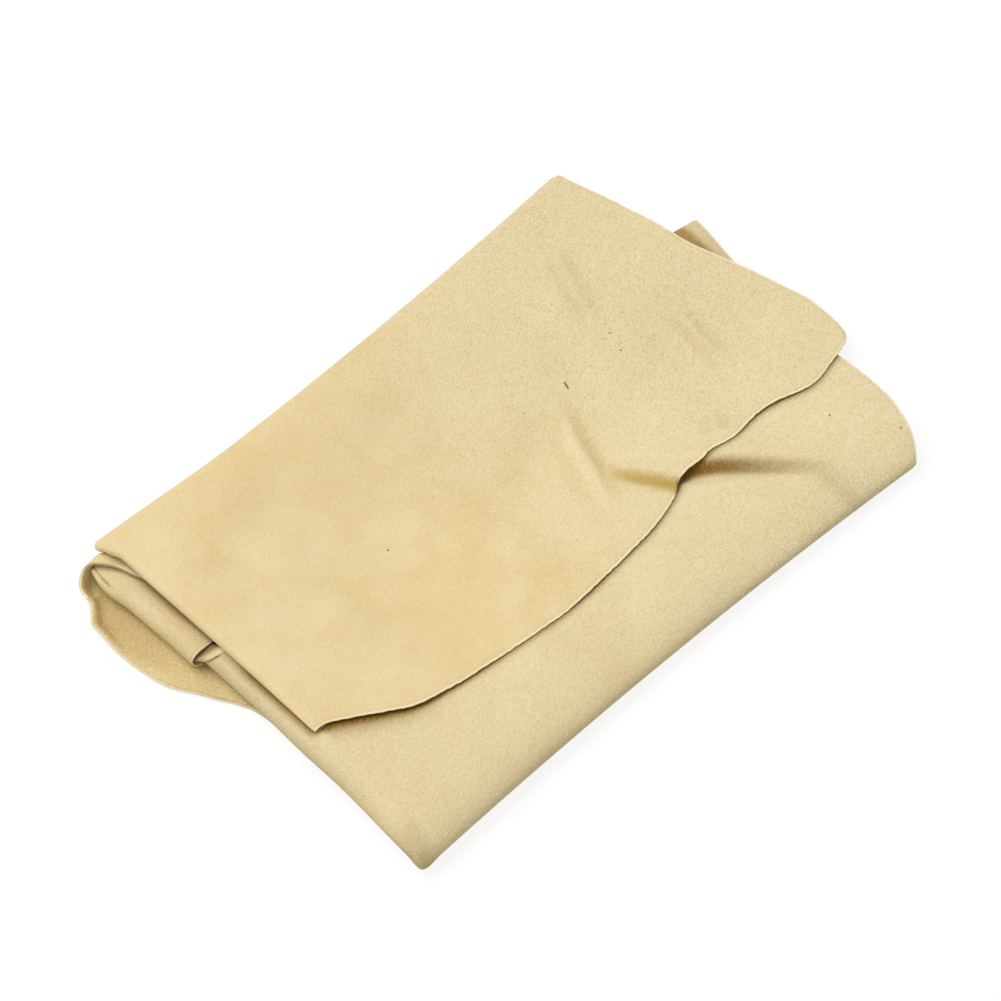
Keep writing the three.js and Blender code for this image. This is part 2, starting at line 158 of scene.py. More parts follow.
# The base third lies flat on the table with the flesh side of the skin up. Its left edge is raw: a
# hand cut, a little wavy, which lifts into a lip where the back edge is turned up. Millimetres.
MM = 0.001
LEATHER = 1.2
LAYER = 2.1  # from the middle of one layer to the middle of the next that lies on it
BASE_LEVEL = LEATHER / 2
INNER_LEVEL = BASE_LEVEL + LAYER
FINE = 1.5  # size of a mesh cell
CROWDING = 1.15  # above 1, cells are smaller towards the left, where the skin shows

FRONT_DEPTH = 106.8
FRONT_BOW_X = -40
FRONT_BOW_RADIUS = 2780
FRONT_LEFT_X = -148
FRONT_LEFT_RADIUS = 9.4
FRONT_RIGHT_X = 143
FRONT_RIGHT_RADIUS = 7.4
MIDDLE_LEFT = -139.6

EDGE_LEFT = (-155.5, 97.5)
EDGE_RIGHT = (179.3, 52.8)
EDGE_LEFT_RADIUS = 8
EDGE_RIGHT_RADIUS = 3.9
EDGE_MARGIN = 2  # of flat base that goes with the turned edge

BASE_WIDTH = 310
BASE_LENGTH = 190
BASE_LEFT_EDGE = [
    (-139.6, -99.4), (-142, -50), (-144.4, -7), (-148, 5.2), (-153, 13.3), (-157.8, 21.8), (-163.5, 32),
    (-166.7, 45.7), (-167.9, 60), (-167.4, 70), (-166.9, 76), (-163, 81.5), (-160.8, 85), (-159.9, 88.05),
]
BASE_RIGHT_EDGE = [(139, -104), (150, -60), (163, 0), (170, 17), (175, 48)]
BASE_RIGHT_BACK = 46.5  # y where the right edge meets the turned edge


def smooth(value, low, high):
    """0 below low, 1 above high, and an even S between them."""
    t = np.clip((value - low) / (high - low), 0, 1)
    return t * t * (3 - 2 * t)


def bell(value, middle, width):
    """1 where the value is the middle one, falling away evenly on both sides of it."""
    return np.exp(-((value - middle) / width) ** 2)


def faded(value, start, full, wane, end):
    """1 from where it is full to where it wanes, and 0 before its start and after its end."""
    return smooth(value, start, full) * (1 - smooth(value, wane, end))


def mix(a, b, share):
    return a + (b - a) * share


def steps(length, size=FINE):
    """Even shares from 0 to 1 along a length, a cell apart."""
    return np.linspace(0, 1, max(int(round(length / size)), 2) + 1)


CURVE_STEPS = 24  # from one point of a curve to the next
EDGE_STEPS = 600


def curve_through(points, shares):
    """A smooth line through points, at these shares of its length."""
    p = np.array(points, float)
    p = np.vstack([2 * p[0] - p[1], p, 2 * p[-1] - p[-2]])
    t = np.linspace(0, 1, CURVE_STEPS, endpoint=False)[:, None]
    runs = []
    for a, b, c, d in zip(p, p[1:], p[2:], p[3:]):
        bend = (2 * a - 5 * b + 4 * c - d) * t ** 2 + (3 * b - a - 3 * c + d) * t ** 3
        runs.append(0.5 * (2 * b + (c - a) * t + bend))
    dense = np.vstack([*runs, p[-2]])
    run = np.hstack([0, np.cumsum(np.linalg.norm(np.diff(dense, axis=0), axis=1))])
    return np.stack([np.interp(shares * run[-1], run, dense[:, k]) for k in range(p.shape[1])], -1)


def edge_at(points, y):
    """Where a raw edge lies in x at these places in y."""
    line = curve_through(points, np.linspace(0, 1, EDGE_STEPS))
    return np.interp(y, line[:, 1], line[:, 0])


RAGGED_DEPTH = 0.07
RAGGED_LENGTHS = (2.3, 3.7, 6.1, 17, 29)


def ragged(along, seed):
    """How far a cut edge wanders from its line, as shears and stretching leave it."""
    phase = np.random.default_rng(seed).uniform(0, 2 * np.pi, len(RAGGED_LENGTHS))
    return RAGGED_DEPTH * sum(np.sin(2 * np.pi * along / w + f) for w, f in zip(RAGGED_LENGTHS, phase))


def front_radius(x):
    return mix(FRONT_LEFT_RADIUS, FRONT_RIGHT_RADIUS, (x - FRONT_LEFT_X) / (FRONT_RIGHT_X - FRONT_LEFT_X))


def front_crease(x):
    return -FRONT_DEPTH - (x - FRONT_BOW_X) ** 2 / (2 * FRONT_BOW_RADIUS)


def front_panel_line(x):
    return front_crease(x) + front_radius(x)


def along_edge(x):
    return (x - EDGE_LEFT[0]) / (EDGE_RIGHT[0] - EDGE_LEFT[0])


def edge_radius(x):
    return mix(EDGE_LEFT_RADIUS, EDGE_RIGHT_RADIUS, along_edge(x))


def edge_crease(x):
    return mix(EDGE_LEFT[1], EDGE_RIGHT[1], along_edge(x))


def edge_panel_line(x):
    return edge_crease(x) - edge_radius(x)


EDGE_HEIGHTS = [(-5, 0), (8, 0.5), (20, 1.3), (32, 0.7), (45, 0.9), (58, 2), (66, 3.2), (78, 3.7), (88, 3.6)]
WAVE_WIDTH = 16  # how far in the waves of the raw edge reach, and its lip, which starts over LIP_Y
LIP_WIDTH = 4.6
LIP_FROM = 0.8
LIP_Y = (40, 62)


def base_lift(x, y):
    """How far the base is off the table: its raw left edge waves, and stands up near the turned edge."""
    inside = x - edge_at(BASE_LEFT_EDGE, y)
    height = np.interp(y, *zip(*EDGE_HEIGHTS))
    return height * (1 - smooth(inside, LIP_FROM, mix(WAVE_WIDTH, LIP_WIDTH, smooth(y, *LIP_Y))))


def with_crease_dirt_shade(x, y, z, crease_dirt_shade=0):
    """A grid of places in millimetres, each with how hard the skin is creased or soiled there, or how much
    painted shade lies on it.
    """
    return np.stack(np.broadcast_arrays(x, y, z, crease_dirt_shade), -1).astype(float)


RIM_THICKNESS = 0.8
RIM_ROUNDING = 0.6  # how far in from a raw edge its rounding starts
RIM_BULGE = 1.5 * RIM_ROUNDING  # and how far it stands out from there
RIM_ANGLES = (45, 90, 135)  # of the rows of its rounding, and how much shade is painted on each
RIM_UNDERSIDE_SHADE = (0, 0.4, 1)


def merge(grids):
    """The grids as one list of places, of which those that meet are one, with the number of each in the
    grids, and the faces between them."""
    points = np.vstack([g.reshape(-1, 4) for g in grids])
    faces = []
    start = 0
    for g in grids:
        index = start + np.arange(g.shape[0] * g.shape[1]).reshape(g.shape[:2])
        corners = [index[:-1, :-1], index[:-1, 1:], index[1:, 1:], index[1:, :-1]]
        faces.append(np.stack(corners, -1).reshape(-1, 4))
        start += index.size
    rounded = np.round(points[:, :3], 3)
    _, first, merged = np.unique(rounded, axis=0, return_index=True, return_inverse=True)
    return points[first], first, merged.reshape(-1)[np.vstack(faces)]


def directions(place, faces):
    """The normal at each place, the loose edges of the faces, and the way out of the sheet at those."""
    across = np.cross(place[faces[:, 2]] - place[faces[:, 0]], place[faces[:, 3]] - place[faces[:, 1]])
    normal = np.zeros_like(place)
    for k in range(4):
        np.add.at(normal, faces[:, k], across)
    normal /= np.linalg.norm(normal, axis=1, keepdims=True)
    edges = np.vstack([faces[:, [k, (k + 1) % 4]] for k in range(4)])
    edges = edges[edges[:, 0] != edges[:, 1]]
    count = len(place)
    rim = edges[~np.isin(edges[:, 0] * count + edges[:, 1], edges[:, 1] * count + edges[:, 0])]
    along = np.zeros_like(place)
    for k in range(2):
        np.add.at(along, rim[:, k], place[rim[:, 1]] - place[rim[:, 0]])
    outward = np.cross(along, normal)
    outward /= np.maximum(np.linalg.norm(outward, axis=1, keepdims=True), 1e-9)
    return normal, rim, outward


def smooth_mesh(name, vertices, polygons, kind):
    """A mesh of four-cornered polygons, less the corners that repeat, each with its kind of material."""
    repeated = polygons == np.roll(polygons, -1, axis=1)
    kept = repeated.sum(axis=1) < 2
    corners = [p[~r].tolist() for p, r in zip(polygons[kept], repeated[kept])]
    mesh = bpy.data.meshes.new(name)
    mesh.from_pydata(vertices, [], corners)
    mesh.polygons.foreach_set("material_index", kind[kept].astype(np.int32))
    mesh.validate()
    mesh.shade_smooth()
    return mesh


def skin(name, grids, sides, joined=(), rim_shade=1):
    """One closed sheet of leather around the grids, which are merged where they meet. Their normals
    point to the first of the two sides. The sheet thins to a soft rounded rim at its raw edges, but not
    along the joined rows of places, where the next sheet carries on. The rim is painted darker
    underneath, for the shade there, by one amount or by one for each place."""
    points, first, faces = merge(grids)
    rim_shade = np.broadcast_to(np.ravel(rim_shade), sum(g.shape[0] * g.shape[1] for g in grids))[first]
    place = points[:, :3]
    crease_dirt_shade = points[:, 3]
    count = len(place)
    normal, rim, outward = directions(place, faces)
    on_rim = np.unique(rim)
    carried_on = {tuple(p) for row in joined for p in np.round(row[:, :3], 3)}
    raw = np.array([tuple(p) not in carried_on for p in np.round(place, 3)])[:, None]
    place[on_rim] -= RIM_ROUNDING * raw[on_rim] * outward[on_rim]

    half = np.full((count, 1), LEATHER / 2)
    half[on_rim] = np.where(raw[on_rim], RIM_THICKNESS, LEATHER) / 2
    slot_of = np.full(count, -1)
    slot_of[on_rim] = np.arange(len(on_rim))
    layers = [place + half * normal, place - half * normal]
    rings = [np.arange(count)]
    for k, angle in enumerate(np.radians(RIM_ANGLES)):
        bulge = RIM_BULGE * raw * math.sin(angle) * outward + half * math.cos(angle) * normal
        layers.append((place + bulge)[on_rim])
        rings.append(slot_of + 2 * count + k * len(on_rim))
    rings.append(np.arange(count) + count)
    walls = []
    for upper, lower in zip(rings, rings[1:]):
        walls.append(np.hstack([upper[rim[:, ::-1]], lower[rim]]))
    polygons = np.vstack([faces, faces[:, ::-1] + count, *walls])
    kind = np.repeat([0, 1, 2], [len(faces), len(faces), sum(len(w) for w in walls)])
    vertices = np.vstack(layers) * MM

    mesh = smooth_mesh(name, vertices, polygons, kind)
    rest = mesh.attributes.new("rest_place", "FLOAT_VECTOR", "POINT")
    rest.data.foreach_set("vector", vertices.astype(np.float32).ravel())
    rim_darkening = [np.maximum(crease_dirt_shade[on_rim], rim_shade[on_rim] * shading * raw[on_rim, 0]) for shading in RIM_UNDERSIDE_SHADE]
    crease_dirt_shade_layer = mesh.attributes.new("crease_dirt_shade", "FLOAT", "POINT")
    crease_dirt_shade_layer.data.foreach_set("value", np.hstack([crease_dirt_shade, crease_dirt_shade, *rim_darkening]).astype(np.float32))
    for material in (*sides, cut_edge):
        mesh.materials.append(material)
    return add_object(name, mesh)


# Chamois is a sheepskin split with its grain taken off and tanned in fish oil, then buffed on both
# sides to a soft nap: dead matt, cream to straw yellow, cloudy where the nap lies another way.
CLOUD_MM = 48
PATCH_MM = 13
CLUMP_MM = 3.4
NAP_MM = 1.3  # the nap is far finer: it is drawn as coarse as the clumps that show in the render
FIBRE_MM = 0.6
PATCH_SHARE = 0.35  # of the clouds' pattern, which is pale above CLOUD_RANGE and deep below it
CLOUD_RANGE = (0.36, 0.64)
FIBRE_SHARE = 0.45  # of the flecks' pattern, and that of the clumps
CLUMP_SHARE = 0.1
SMOOTH_X = -60  # the skin is smoother at the back of the animal, on the left, than at its belly
ROUGH_X = 110
ROOT_COLOUR = "A4803E"  # of the nap between its tips
TIP_COLOUR = "FFFAEA"
FLECK_MIDDLE = 0.472  # below the noise's own middle, so that pale tips outweigh the darker roots
CREASE_FLECKS = 0.3  # how much of the flecks is left in a crease, or under painted shade
PALER = 0.6  # how much more of its raised, paler fibres a nap twice as rough shows, partly painted light that lifts the rough right side, which the lamp lights less
RAISED_AND_LIT_COLOUR = "FFEDBD"
SHEEN_COLOUR = "DCC088"
SPECK_COLOUR = "70420E"
SPECK_RADIUS = 0.9


def chamois_suede(name, colours, nap_height, fleck, rough=(1, 1), specks=()):
    """Oil-tanned chamois suede in a pale and a deep colour of its clouds and a third for its creases,
    its dirt and its painted shade, with the depth of its nap and of its flecks, how rough it is on its
    left and right, and the places of dark specks in it."""
    pale, deep, crease_dirt_shade_colour = (linear(c) for c in colours)
    made = bpy.data.materials.new(name)
    made.use_nodes = True
    tree = made.node_tree
    tree.nodes.clear()
    place = add_node(tree, "Attribute", attribute_name="rest_place").outputs["Vector"]
    crease_dirt_shade = add_node(tree, "Attribute", attribute_name="crease_dirt_shade").outputs["Fac"]
    noises = []
    for size, detail, roughness in (
        (CLOUD_MM, 3, 0.55), (PATCH_MM, 3, 0.55), (CLUMP_MM, 3, 0.6), (NAP_MM, 4, 0.7), (FIBRE_MM, 2, 0.6)
    ):
        inputs = {"Vector": place, "Scale": 1 / (size * MM), "Detail": detail, "Roughness": roughness}
        noises.append(add_node(tree, "TexNoise", inputs).outputs["Fac"])
    cloud, patch, clump, nap, fibre = noises

    across = add_node(tree, "SeparateXYZ", {0: place}).outputs["X"]
    belly = {"Value": across, "From Min": SMOOTH_X * MM, "From Max": ROUGH_X * MM}
    belly.update({"To Min": rough[0], "To Max": rough[1]})
    how_rough = add_node(tree, "MapRange", belly, interpolation_type="SMOOTHSTEP").outputs[0]
    clouds = add_node(tree, "Mix", {0: PATCH_SHARE, 2: cloud, 3: patch}, data_type="FLOAT").outputs[0]
    clouds = {"Value": clouds, "From Min": CLOUD_RANGE[0], "From Max": CLOUD_RANGE[1]}
    paleness = add_node(tree, "MapRange", clouds).outputs[0]
    tint = add_node(tree, "Mix", {0: paleness, 6: deep, 7: pale}, data_type="RGBA").outputs[2]
    # paler where the nap is rougher, which also paints the right side lighter where the lamp lights it less
    raised_and_lit = {"Value": how_rough, "From Min": 1, "From Max": 2, "To Max": PALER}
    raised_and_lit = {0: add_node(tree, "MapRange", raised_and_lit).outputs[0], 6: tint, 7: linear(RAISED_AND_LIT_COLOUR)}
    tint = add_node(tree, "Mix", raised_and_lit, data_type="RGBA").outputs[2]
    # towards the third colour where the skin is creased or soiled, and where shade is painted on it
    colour = add_node(tree, "Mix", {0: crease_dirt_shade, 6: tint, 7: crease_dirt_shade_colour}, data_type="RGBA").outputs[2]

    for x, y in specks:
        flat = add_node(tree, "VectorMath", {0: place, 1: (1, 1, 0)}, operation="MULTIPLY")
        speck = {0: flat.outputs[0], 1: (x * MM, y * MM, 0)}
        away = add_node(tree, "VectorMath", speck, operation="DISTANCE").outputs["Value"]
        near = {"Value": away, "From Max": SPECK_RADIUS * MM, "To Min": 1, "To Max": 0}
        near = add_node(tree, "MapRange", near, interpolation_type="SMOOTHSTEP").outputs[0]
        dark = {0: near, 6: colour, 7: linear(SPECK_COLOUR)}
        colour = add_node(tree, "Mix", dark, data_type="RGBA").outputs[2]

    fine = add_node(tree, "Mix", {0: FIBRE_SHARE, 2: nap, 3: fibre}, data_type="FLOAT")
    flecks = add_node(tree, "Mix", {0: CLUMP_SHARE, 2: fine.outputs[0], 3: clump}, data_type="FLOAT")
    centred = add_node(tree, "Math", {0: flecks.outputs[0], 1: FLECK_MIDDLE}, operation="SUBTRACT")
    uneven = add_node(tree, "Math", {0: centred.outputs[0], 1: how_rough}, operation="MULTIPLY").outputs[0]
    spared = add_node(tree, "MapRange", {"Value": crease_dirt_shade, "To Min": 1, "To Max": CREASE_FLECKS})
    specked = add_node(tree, "Math", {0: uneven, 1: spared.outputs[0]}, operation="MULTIPLY").outputs[0]
    for hue, depth in ((ROOT_COLOUR, -fleck), (TIP_COLOUR, fleck)):
        amount = add_node(tree, "Math", {0: specked, 1: depth}, operation="MULTIPLY", use_clamp=True)
        fibres = {0: amount.outputs[0], 6: colour, 7: linear(hue)}
        colour = add_node(tree, "Mix", fibres, data_type="RGBA").outputs[2]
    relief = add_node(tree, "Bump", {"Strength": 1, "Distance": nap_height * MM, "Height": uneven})
    surface = add_node(
        tree, "BsdfPrincipled",
        {
            "Base Color": colour, "Roughness": 0.95, "IOR": 1.45, "Specular IOR Level": 0,
            "Sheen Weight": 0.02, "Sheen Roughness": 0.5, "Sheen Tint": linear(SHEEN_COLOUR),
            "Normal": relief.outputs[0],
        },
    )
    add_node(tree, "OutputMaterial", {"Surface": surface.outputs[0]})
    return made


# Each material's third colour is that of its creases and dirt, and of the shade painted on it.
nap_side = chamois_suede("chamois_suede_nap_side", ("E8D6A9", "E1CC98", "96702C"), 1, 1.4, rough=(1, 1.2))
flesh_side = chamois_suede("chamois_suede_flesh_side", ("E5CF94", "D9C082", "A98A4A"), 1.3, 2.5)
# The cut edge is pale where its fibres show, and painted paler still for a highlight along the top of its
# rim.
cut_edge = chamois_suede("chamois_cut_edge", ("FBF0D2", "F4E6C0", "785A12"), 0.4, 0.6)

FOOT_SHADE = 0.35  # at the foot of the lip
FOOT_WIDTH = 2.2
FOOT_Y = (60, 74)
BASE_SHADE = 0.36  # painted shade on the base beside the lip and under the roll
BASE_SHADE_Y = (32, 66)
BASE_SHADE_INSIDE = (2, 7)
EDGE_SOIL = 0.2  # along the raw edge
EDGE_SOIL_WIDTH = 0.8


def base_third():
    v = steps(BASE_LENGTH)[:, None]
    u = steps(BASE_WIDTH)[None, :] ** CROWDING
    left_x = edge_at(BASE_LEFT_EDGE, mix(BASE_LEFT_EDGE[0][1], BASE_LEFT_EDGE[-1][1], v))
    left_x = left_x + ragged(BASE_LENGTH * v, seed=3) * (1 - v)
    right_x = edge_at(BASE_RIGHT_EDGE, mix(BASE_RIGHT_EDGE[0][1], BASE_RIGHT_BACK, v))
    x = mix(left_x, right_x, u)
    y = mix(front_panel_line(x), edge_panel_line(x) - EDGE_MARGIN, v)
    inside = x - left_x
    foot = FOOT_SHADE * bell(inside, LIP_WIDTH, FOOT_WIDTH) * smooth(y, *FOOT_Y)
    # painted shade beside the lip and under the roll
    darkened = BASE_SHADE * smooth(y, *BASE_SHADE_Y) * smooth(inside, *BASE_SHADE_INSIDE)
    darker = EDGE_SOIL * bell(inside, 0, EDGE_SOIL_WIDTH)
    return with_crease_dirt_shade(x, y, BASE_LEVEL + base_lift(x, y), foot + darkened + darker)


base_grid = base_third()
base = skin("base_third", [base_grid], (flesh_side, nap_side), joined=[base_grid[0], base_grid[-1]])
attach(base, "base")
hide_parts("base_panel")

# The back edge of the base is turned up and over into a soft roll, and its raw end is tucked in under
# the middle third. At the left the roll is open and stands up as a curl, at the right it ends in a tab.
EDGE_LENGTH = 330
EDGE_RIM = [
    (-159.9, 88.05, 4.2), (-159.7, 91.4, 5), (-158.9, 94, 6.8), (-156.7, 95.9, 9.4), (-154.2, 96.2, 12.3),
    (-151.9, 94.6, 14.8), (-149, 91, 16.1), (-146.3, 87, 16.6), (-144.3, 82.8, 16.4), (-142.3, 77, 15.8),
    (-137.5, 66.5, 14.6), (-130.3, 54.3, 12.9),
]
MARGIN_SHARE = 0.02  # of that rim's length, up to where it leaves the base, and to where the curl ends
CURL_SHARE = 0.39
FINER = 0.7  # size of a mesh cell where the skin turns sharply
TURN_ROWS = 29  # round half a turn
CURL_RUN = 8  # how far in from the left the open end changes the curl, and its tucked part
RIM_RUN = 26
LIP_TO_CURL = (0, 0.25)  # shares of the rim over which these runs change
CURL_TO_TUCK = (0.4, 0.6)
CURL_SQUARE = 0.35  # the open end stands up square behind, and the roll gets round over CURL_ROUND_X
CURL_ROUND_X = (-150, -105)
CURL_RISE = 3  # how much higher, and further back, its open end stands
CURL_LEAN = 0.6
CURL_STAND_X = (-149, -139)
TAB_ROUNDING = 2.6
TAB_SLOPE = 0.115
TAB_TIP = 1.2  # how much its corner at the crease is rounded off, below these angles
TAB_TIP_ANGLES = (20, 60)
# the turned edge is darker towards the tab
TAB_DARKER = 0.12
TAB_DARKER_X = (120, 150)
TAB_SHADE = 0.65  # where the middle third and the flap lie over it
TAB_SHADE_X = (140, 150, 167.5, 171.5)
TAB_RIM_UNSHADED = 0.85  # how much less painted shade its cut rim has under it than the others
TAB_RIM_UNSHADED_X = (120, 160)
BASE_SHADE_SHARES = (0, 0.15)
TUCK_WIDTH = 32
ROLL_LEFT = -145.6
ROLL_BEND = 5.3
ROLL_WIDTH = 42
ROLL_TOP = INNER_LEVEL + 2 * ROLL_BEND


def roll_level(x):
    """Height of the upper layer of the inner roll, which comes down onto the lower one as it goes in."""
    return mix(ROLL_TOP, INNER_LEVEL + LAYER, smooth(x - ROLL_LEFT, 0, ROLL_WIDTH))


def turned_edge():
    u = steps(EDGE_LENGTH)[None, :] ** CROWDING
    margin = steps(EDGE_MARGIN, FINER)[:-1, None]
    angle = np.radians(np.linspace(-90, 90, TURN_ROWS))[:, None]
    inward = TUCK_WIDTH * steps(TUCK_WIDTH)[1:, None]
    shares = np.vstack([
        mix(0, MARGIN_SHARE, margin),
        mix(MARGIN_SHARE, CURL_SHARE, angle / np.pi + 0.5),
        mix(CURL_SHARE, 1, inward / TUCK_WIDTH),
    ])
    rim = curve_through(EDGE_RIM, shares[:, 0])[:, None]
    left_x = rim[..., 0]
    tip = TAB_TIP * (1 - smooth(np.degrees(angle), *TAB_TIP_ANGLES))
    right_x = np.vstack([
        EDGE_RIGHT[0] - TAB_ROUNDING - TAB_TIP + 0 * margin,
        EDGE_RIGHT[0] - TAB_ROUNDING * np.sin(angle) ** 2 - tip,
        EDGE_RIGHT[0] - TAB_ROUNDING - TAB_SLOPE * inward,
    ])

    def section(x):
        """The roll at these places in x, one row after another, as it is away from its open end."""
        on_base, on_curl, tucked = np.split(x, [len(margin), len(margin) + len(angle)])
        flat = [edge_panel_line(on_base) - EDGE_MARGIN * (1 - margin), BASE_LEVEL + 0 * on_base]
        bend = edge_radius(on_curl) - LEATHER / 2
        power = np.where(angle > 0, mix(CURL_SQUARE, 1, smooth(on_curl, *CURL_ROUND_X)), 1)
        out = np.maximum(np.cos(angle), 0) ** power
        up = np.sign(angle) * np.abs(np.sin(angle)) ** power
        stand = np.maximum(up, 0) * (1 - smooth(on_curl, *CURL_STAND_X))
        back = edge_panel_line(on_curl) + bend * out + CURL_LEAN * stand * out ** 0.5
        curl = [back, edge_radius(on_curl) + bend * up + CURL_RISE * stand]
        past_roll = smooth(tucked - ROLL_LEFT - ROLL_WIDTH, 0, ROLL_WIDTH)
        rest = mix(roll_level(tucked) + LAYER, INNER_LEVEL, past_roll)
        top = 2 * edge_radius(tucked) - LEATHER / 2 + CURL_RISE * (1 - smooth(tucked, *CURL_STAND_X))
        tuck = [edge_panel_line(tucked) - inward, mix(top, rest, smooth(inward, 0, TUCK_WIDTH))]
        return np.vstack([np.stack(p, -1) for p in (flat, curl, tuck)])

    x = mix(left_x, right_x, u)
    run = mix(mix(LIP_WIDTH, CURL_RUN, smooth(shares, *LIP_TO_CURL)), RIM_RUN, smooth(shares, *CURL_TO_TUCK))
    open_end = 1 - smooth(x - left_x, 0, run)
    plan = section(x) + (rim[..., 1:] - section(left_x))[:, :1] * open_end[..., None]
    plan[:1, :, 1] = BASE_LEVEL + base_lift(x[:1], plan[:1, :, 0])
    darker = TAB_DARKER * smooth(x, *TAB_DARKER_X)
    shade = TAB_SHADE * faded(x, *TAB_SHADE_X)
    # the same painted shade, where the turned edge leaves the base
    darkened = BASE_SHADE * (1 - smooth(shares, *BASE_SHADE_SHARES)) * smooth(x - left_x, *BASE_SHADE_INSIDE)
    return with_crease_dirt_shade(x, plan[..., 0], plan[..., 1], darker + shade + darkened)


def across_crease(joint, slope, lift, offset=(0, 0, 0)):
    """Start and end of the turn across a hinge: a point's share grows by slope per millimetre in y and
    by lift per millimetre in z, and is a half on the hinge's own line, moved by offset."""
    hinge = next(j for j in frame["joints"] if j["name"] == joint)
    axis = Vector(hinge["axis"])
    growth = Vector((0, slope, lift))
    growth.x = -(growth.y * axis.y + growth.z * axis.z) / axis.x
    middle = Vector(hinge["pos_m"]) + Vector(offset) * MM
    reach = growth / growth.length_squared * MM
    return middle - reach / 2, middle + reach / 2


edge_grid = turned_edge()
tab_rim_shade = 1 - TAB_RIM_UNSHADED * smooth(edge_grid[..., 0], *TAB_RIM_UNSHADED_X)
edge = skin("turned_back_edge", [edge_grid], (flesh_side, nap_side), joined=[edge_grid[0]], rim_shade=tab_rim_shade)
start, end = across_crease("back_edge_fold", slope=-0.04, lift=0.24)
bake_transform(edge)
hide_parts("back_edge_bend_lower", "back_edge_bend_upper", "tucked_edge")

# The inner roll is a fold of the same skin that lies on the base at the left with its nap side out.
# Its front end is a cut across the roll, and its back end is pinched up inside the curl.
ROLL_FRONT = 30
ROLL_BACK = 94
ROLL_LENGTH = 66
ROLL_CELL = 1  # mesh cells along it, on its upper layer and on its lower one
COARSE = 2
BELOW_CELL = 3
BEND_ROWS = 41
BACK_CLEAR = 1.2  # from its back end to where the turned edge bends up
BELOW_SHORT = 4  # how much shorter its lower layer is
CUT_BOW = 0.6  # of the cut across its front end
NOSE_Y = (80, ROLL_BACK + 1)  # where the back end is pinched, to this height, and how far it comes down
NOSE_HEIGHT = 5
NOSE_DROP = 0.6
NOSE_RUN = 12
GROOVE_DEPTH = 1.2  # of the crease that the pinch leaves, at this angle from the top of the bend
GROOVE_ANGLE = (54, 8)  # and its width
GROOVE_Y = (79, 85)
GROOVE_SHADE = 0.8
ROLL_SWELL = 2  # how much further it reaches out near its back end
SWELL_Y = (68, 85)
SWELL_LOST = 0.6
SWELL_LOST_Y = (87, ROLL_BACK + 0.5)
ROLL_WAVE = 0.3
ROLL_WAVE_RUN = 9
ROLL_HANDLED = 0.09  # how dirty it is all over, and the painted shade along the edge of the flap
ROLL_SHADE = 0.85
SHADE_START_X = (-142, -145.5)
SHADE_START_Y = (33, 58)
SHADE_FULL_X = -138.8
SHADE_END_RUN = (2, 14)


def flap_shade(x, y):
    """The painted shade on the roll along the edge of the flap above it, less towards its two ends, over the
    dirt that lies on it all over.
    """
    shaded = smooth(x, mix(*SHADE_START_X, smooth(y, *SHADE_START_Y)), SHADE_FULL_X)
    return np.maximum(ROLL_SHADE * shaded * smooth(ROLL_BACK - y, *SHADE_END_RUN), ROLL_HANDLED)


def round_between(bottom, top, turn):
    """Height round a bend, from half a turn at its bottom to none at its top."""
    half = (top - bottom) / 2
    return bottom + half + half * np.cos(turn)


def inner_roll():
    """Grids of the bend with the upper layer, and of the lower layer."""
    long = steps(ROLL_LENGTH, ROLL_CELL)[:, None]
    below = steps(ROLL_WIDTH, BELOW_CELL)[::-1][None, :-1]
    round_it = np.radians(np.linspace(180, 0, BEND_ROWS))[None, :]
    above = steps(ROLL_WIDTH, COARSE)[None, 1:]

    def back_line(x):
        return np.minimum(edge_panel_line(x) - BACK_CLEAR, ROLL_BACK)

    x = ROLL_LEFT + ROLL_WIDTH * below
    lower = with_crease_dirt_shade(x, mix(ROLL_FRONT, back_line(x) - BELOW_SHORT, long), INNER_LEVEL)

    y = mix(ROLL_FRONT + CUT_BOW * np.sin(round_it) ** 2, ROLL_BACK, long)
    nose = smooth(y, *NOSE_Y)
    floor = mix(INNER_LEVEL, ROLL_TOP - NOSE_HEIGHT, nose)
    groove = smooth(y, *GROOVE_Y) * bell(np.degrees(round_it), *GROOVE_ANGLE)
    swell = ROLL_SWELL * smooth(y, *SWELL_Y) * (1 - SWELL_LOST * smooth(y, *SWELL_LOST_Y))
    reach = ROLL_BEND + ROLL_WAVE * np.sin(y / ROLL_WAVE_RUN) + swell - GROOVE_DEPTH * groove
    x = ROLL_LEFT - reach * np.sin(round_it)
    z = round_between(floor, ROLL_TOP - NOSE_DROP * nose, round_it)
    z = z - GROOVE_DEPTH * groove * np.cos(round_it)
    under_flap = flap_shade(x, y) * (np.cos(round_it) > 0)
    bend = with_crease_dirt_shade(x, y, z, np.maximum(np.maximum(under_flap, GROOVE_SHADE * groove), ROLL_HANDLED))

    x = ROLL_LEFT + ROLL_WIDTH * above
    y = mix(ROLL_FRONT, back_line(x), long)
    near = smooth(y, *NOSE_Y) * (1 - smooth(x - ROLL_LEFT, 0, NOSE_RUN))
    upper = with_crease_dirt_shade(x, y, roll_level(x) - NOSE_DROP * near, flap_shade(x, y))
    return np.hstack([bend, upper]), lower


upper_roll, lower_roll = inner_roll()
roll = skin("inner_roll", [upper_roll, lower_roll], (nap_side, flesh_side), rim_shade=0.3)
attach(roll, "base")
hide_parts("inner_roll_lower", "inner_roll_bend", "inner_roll_upper")

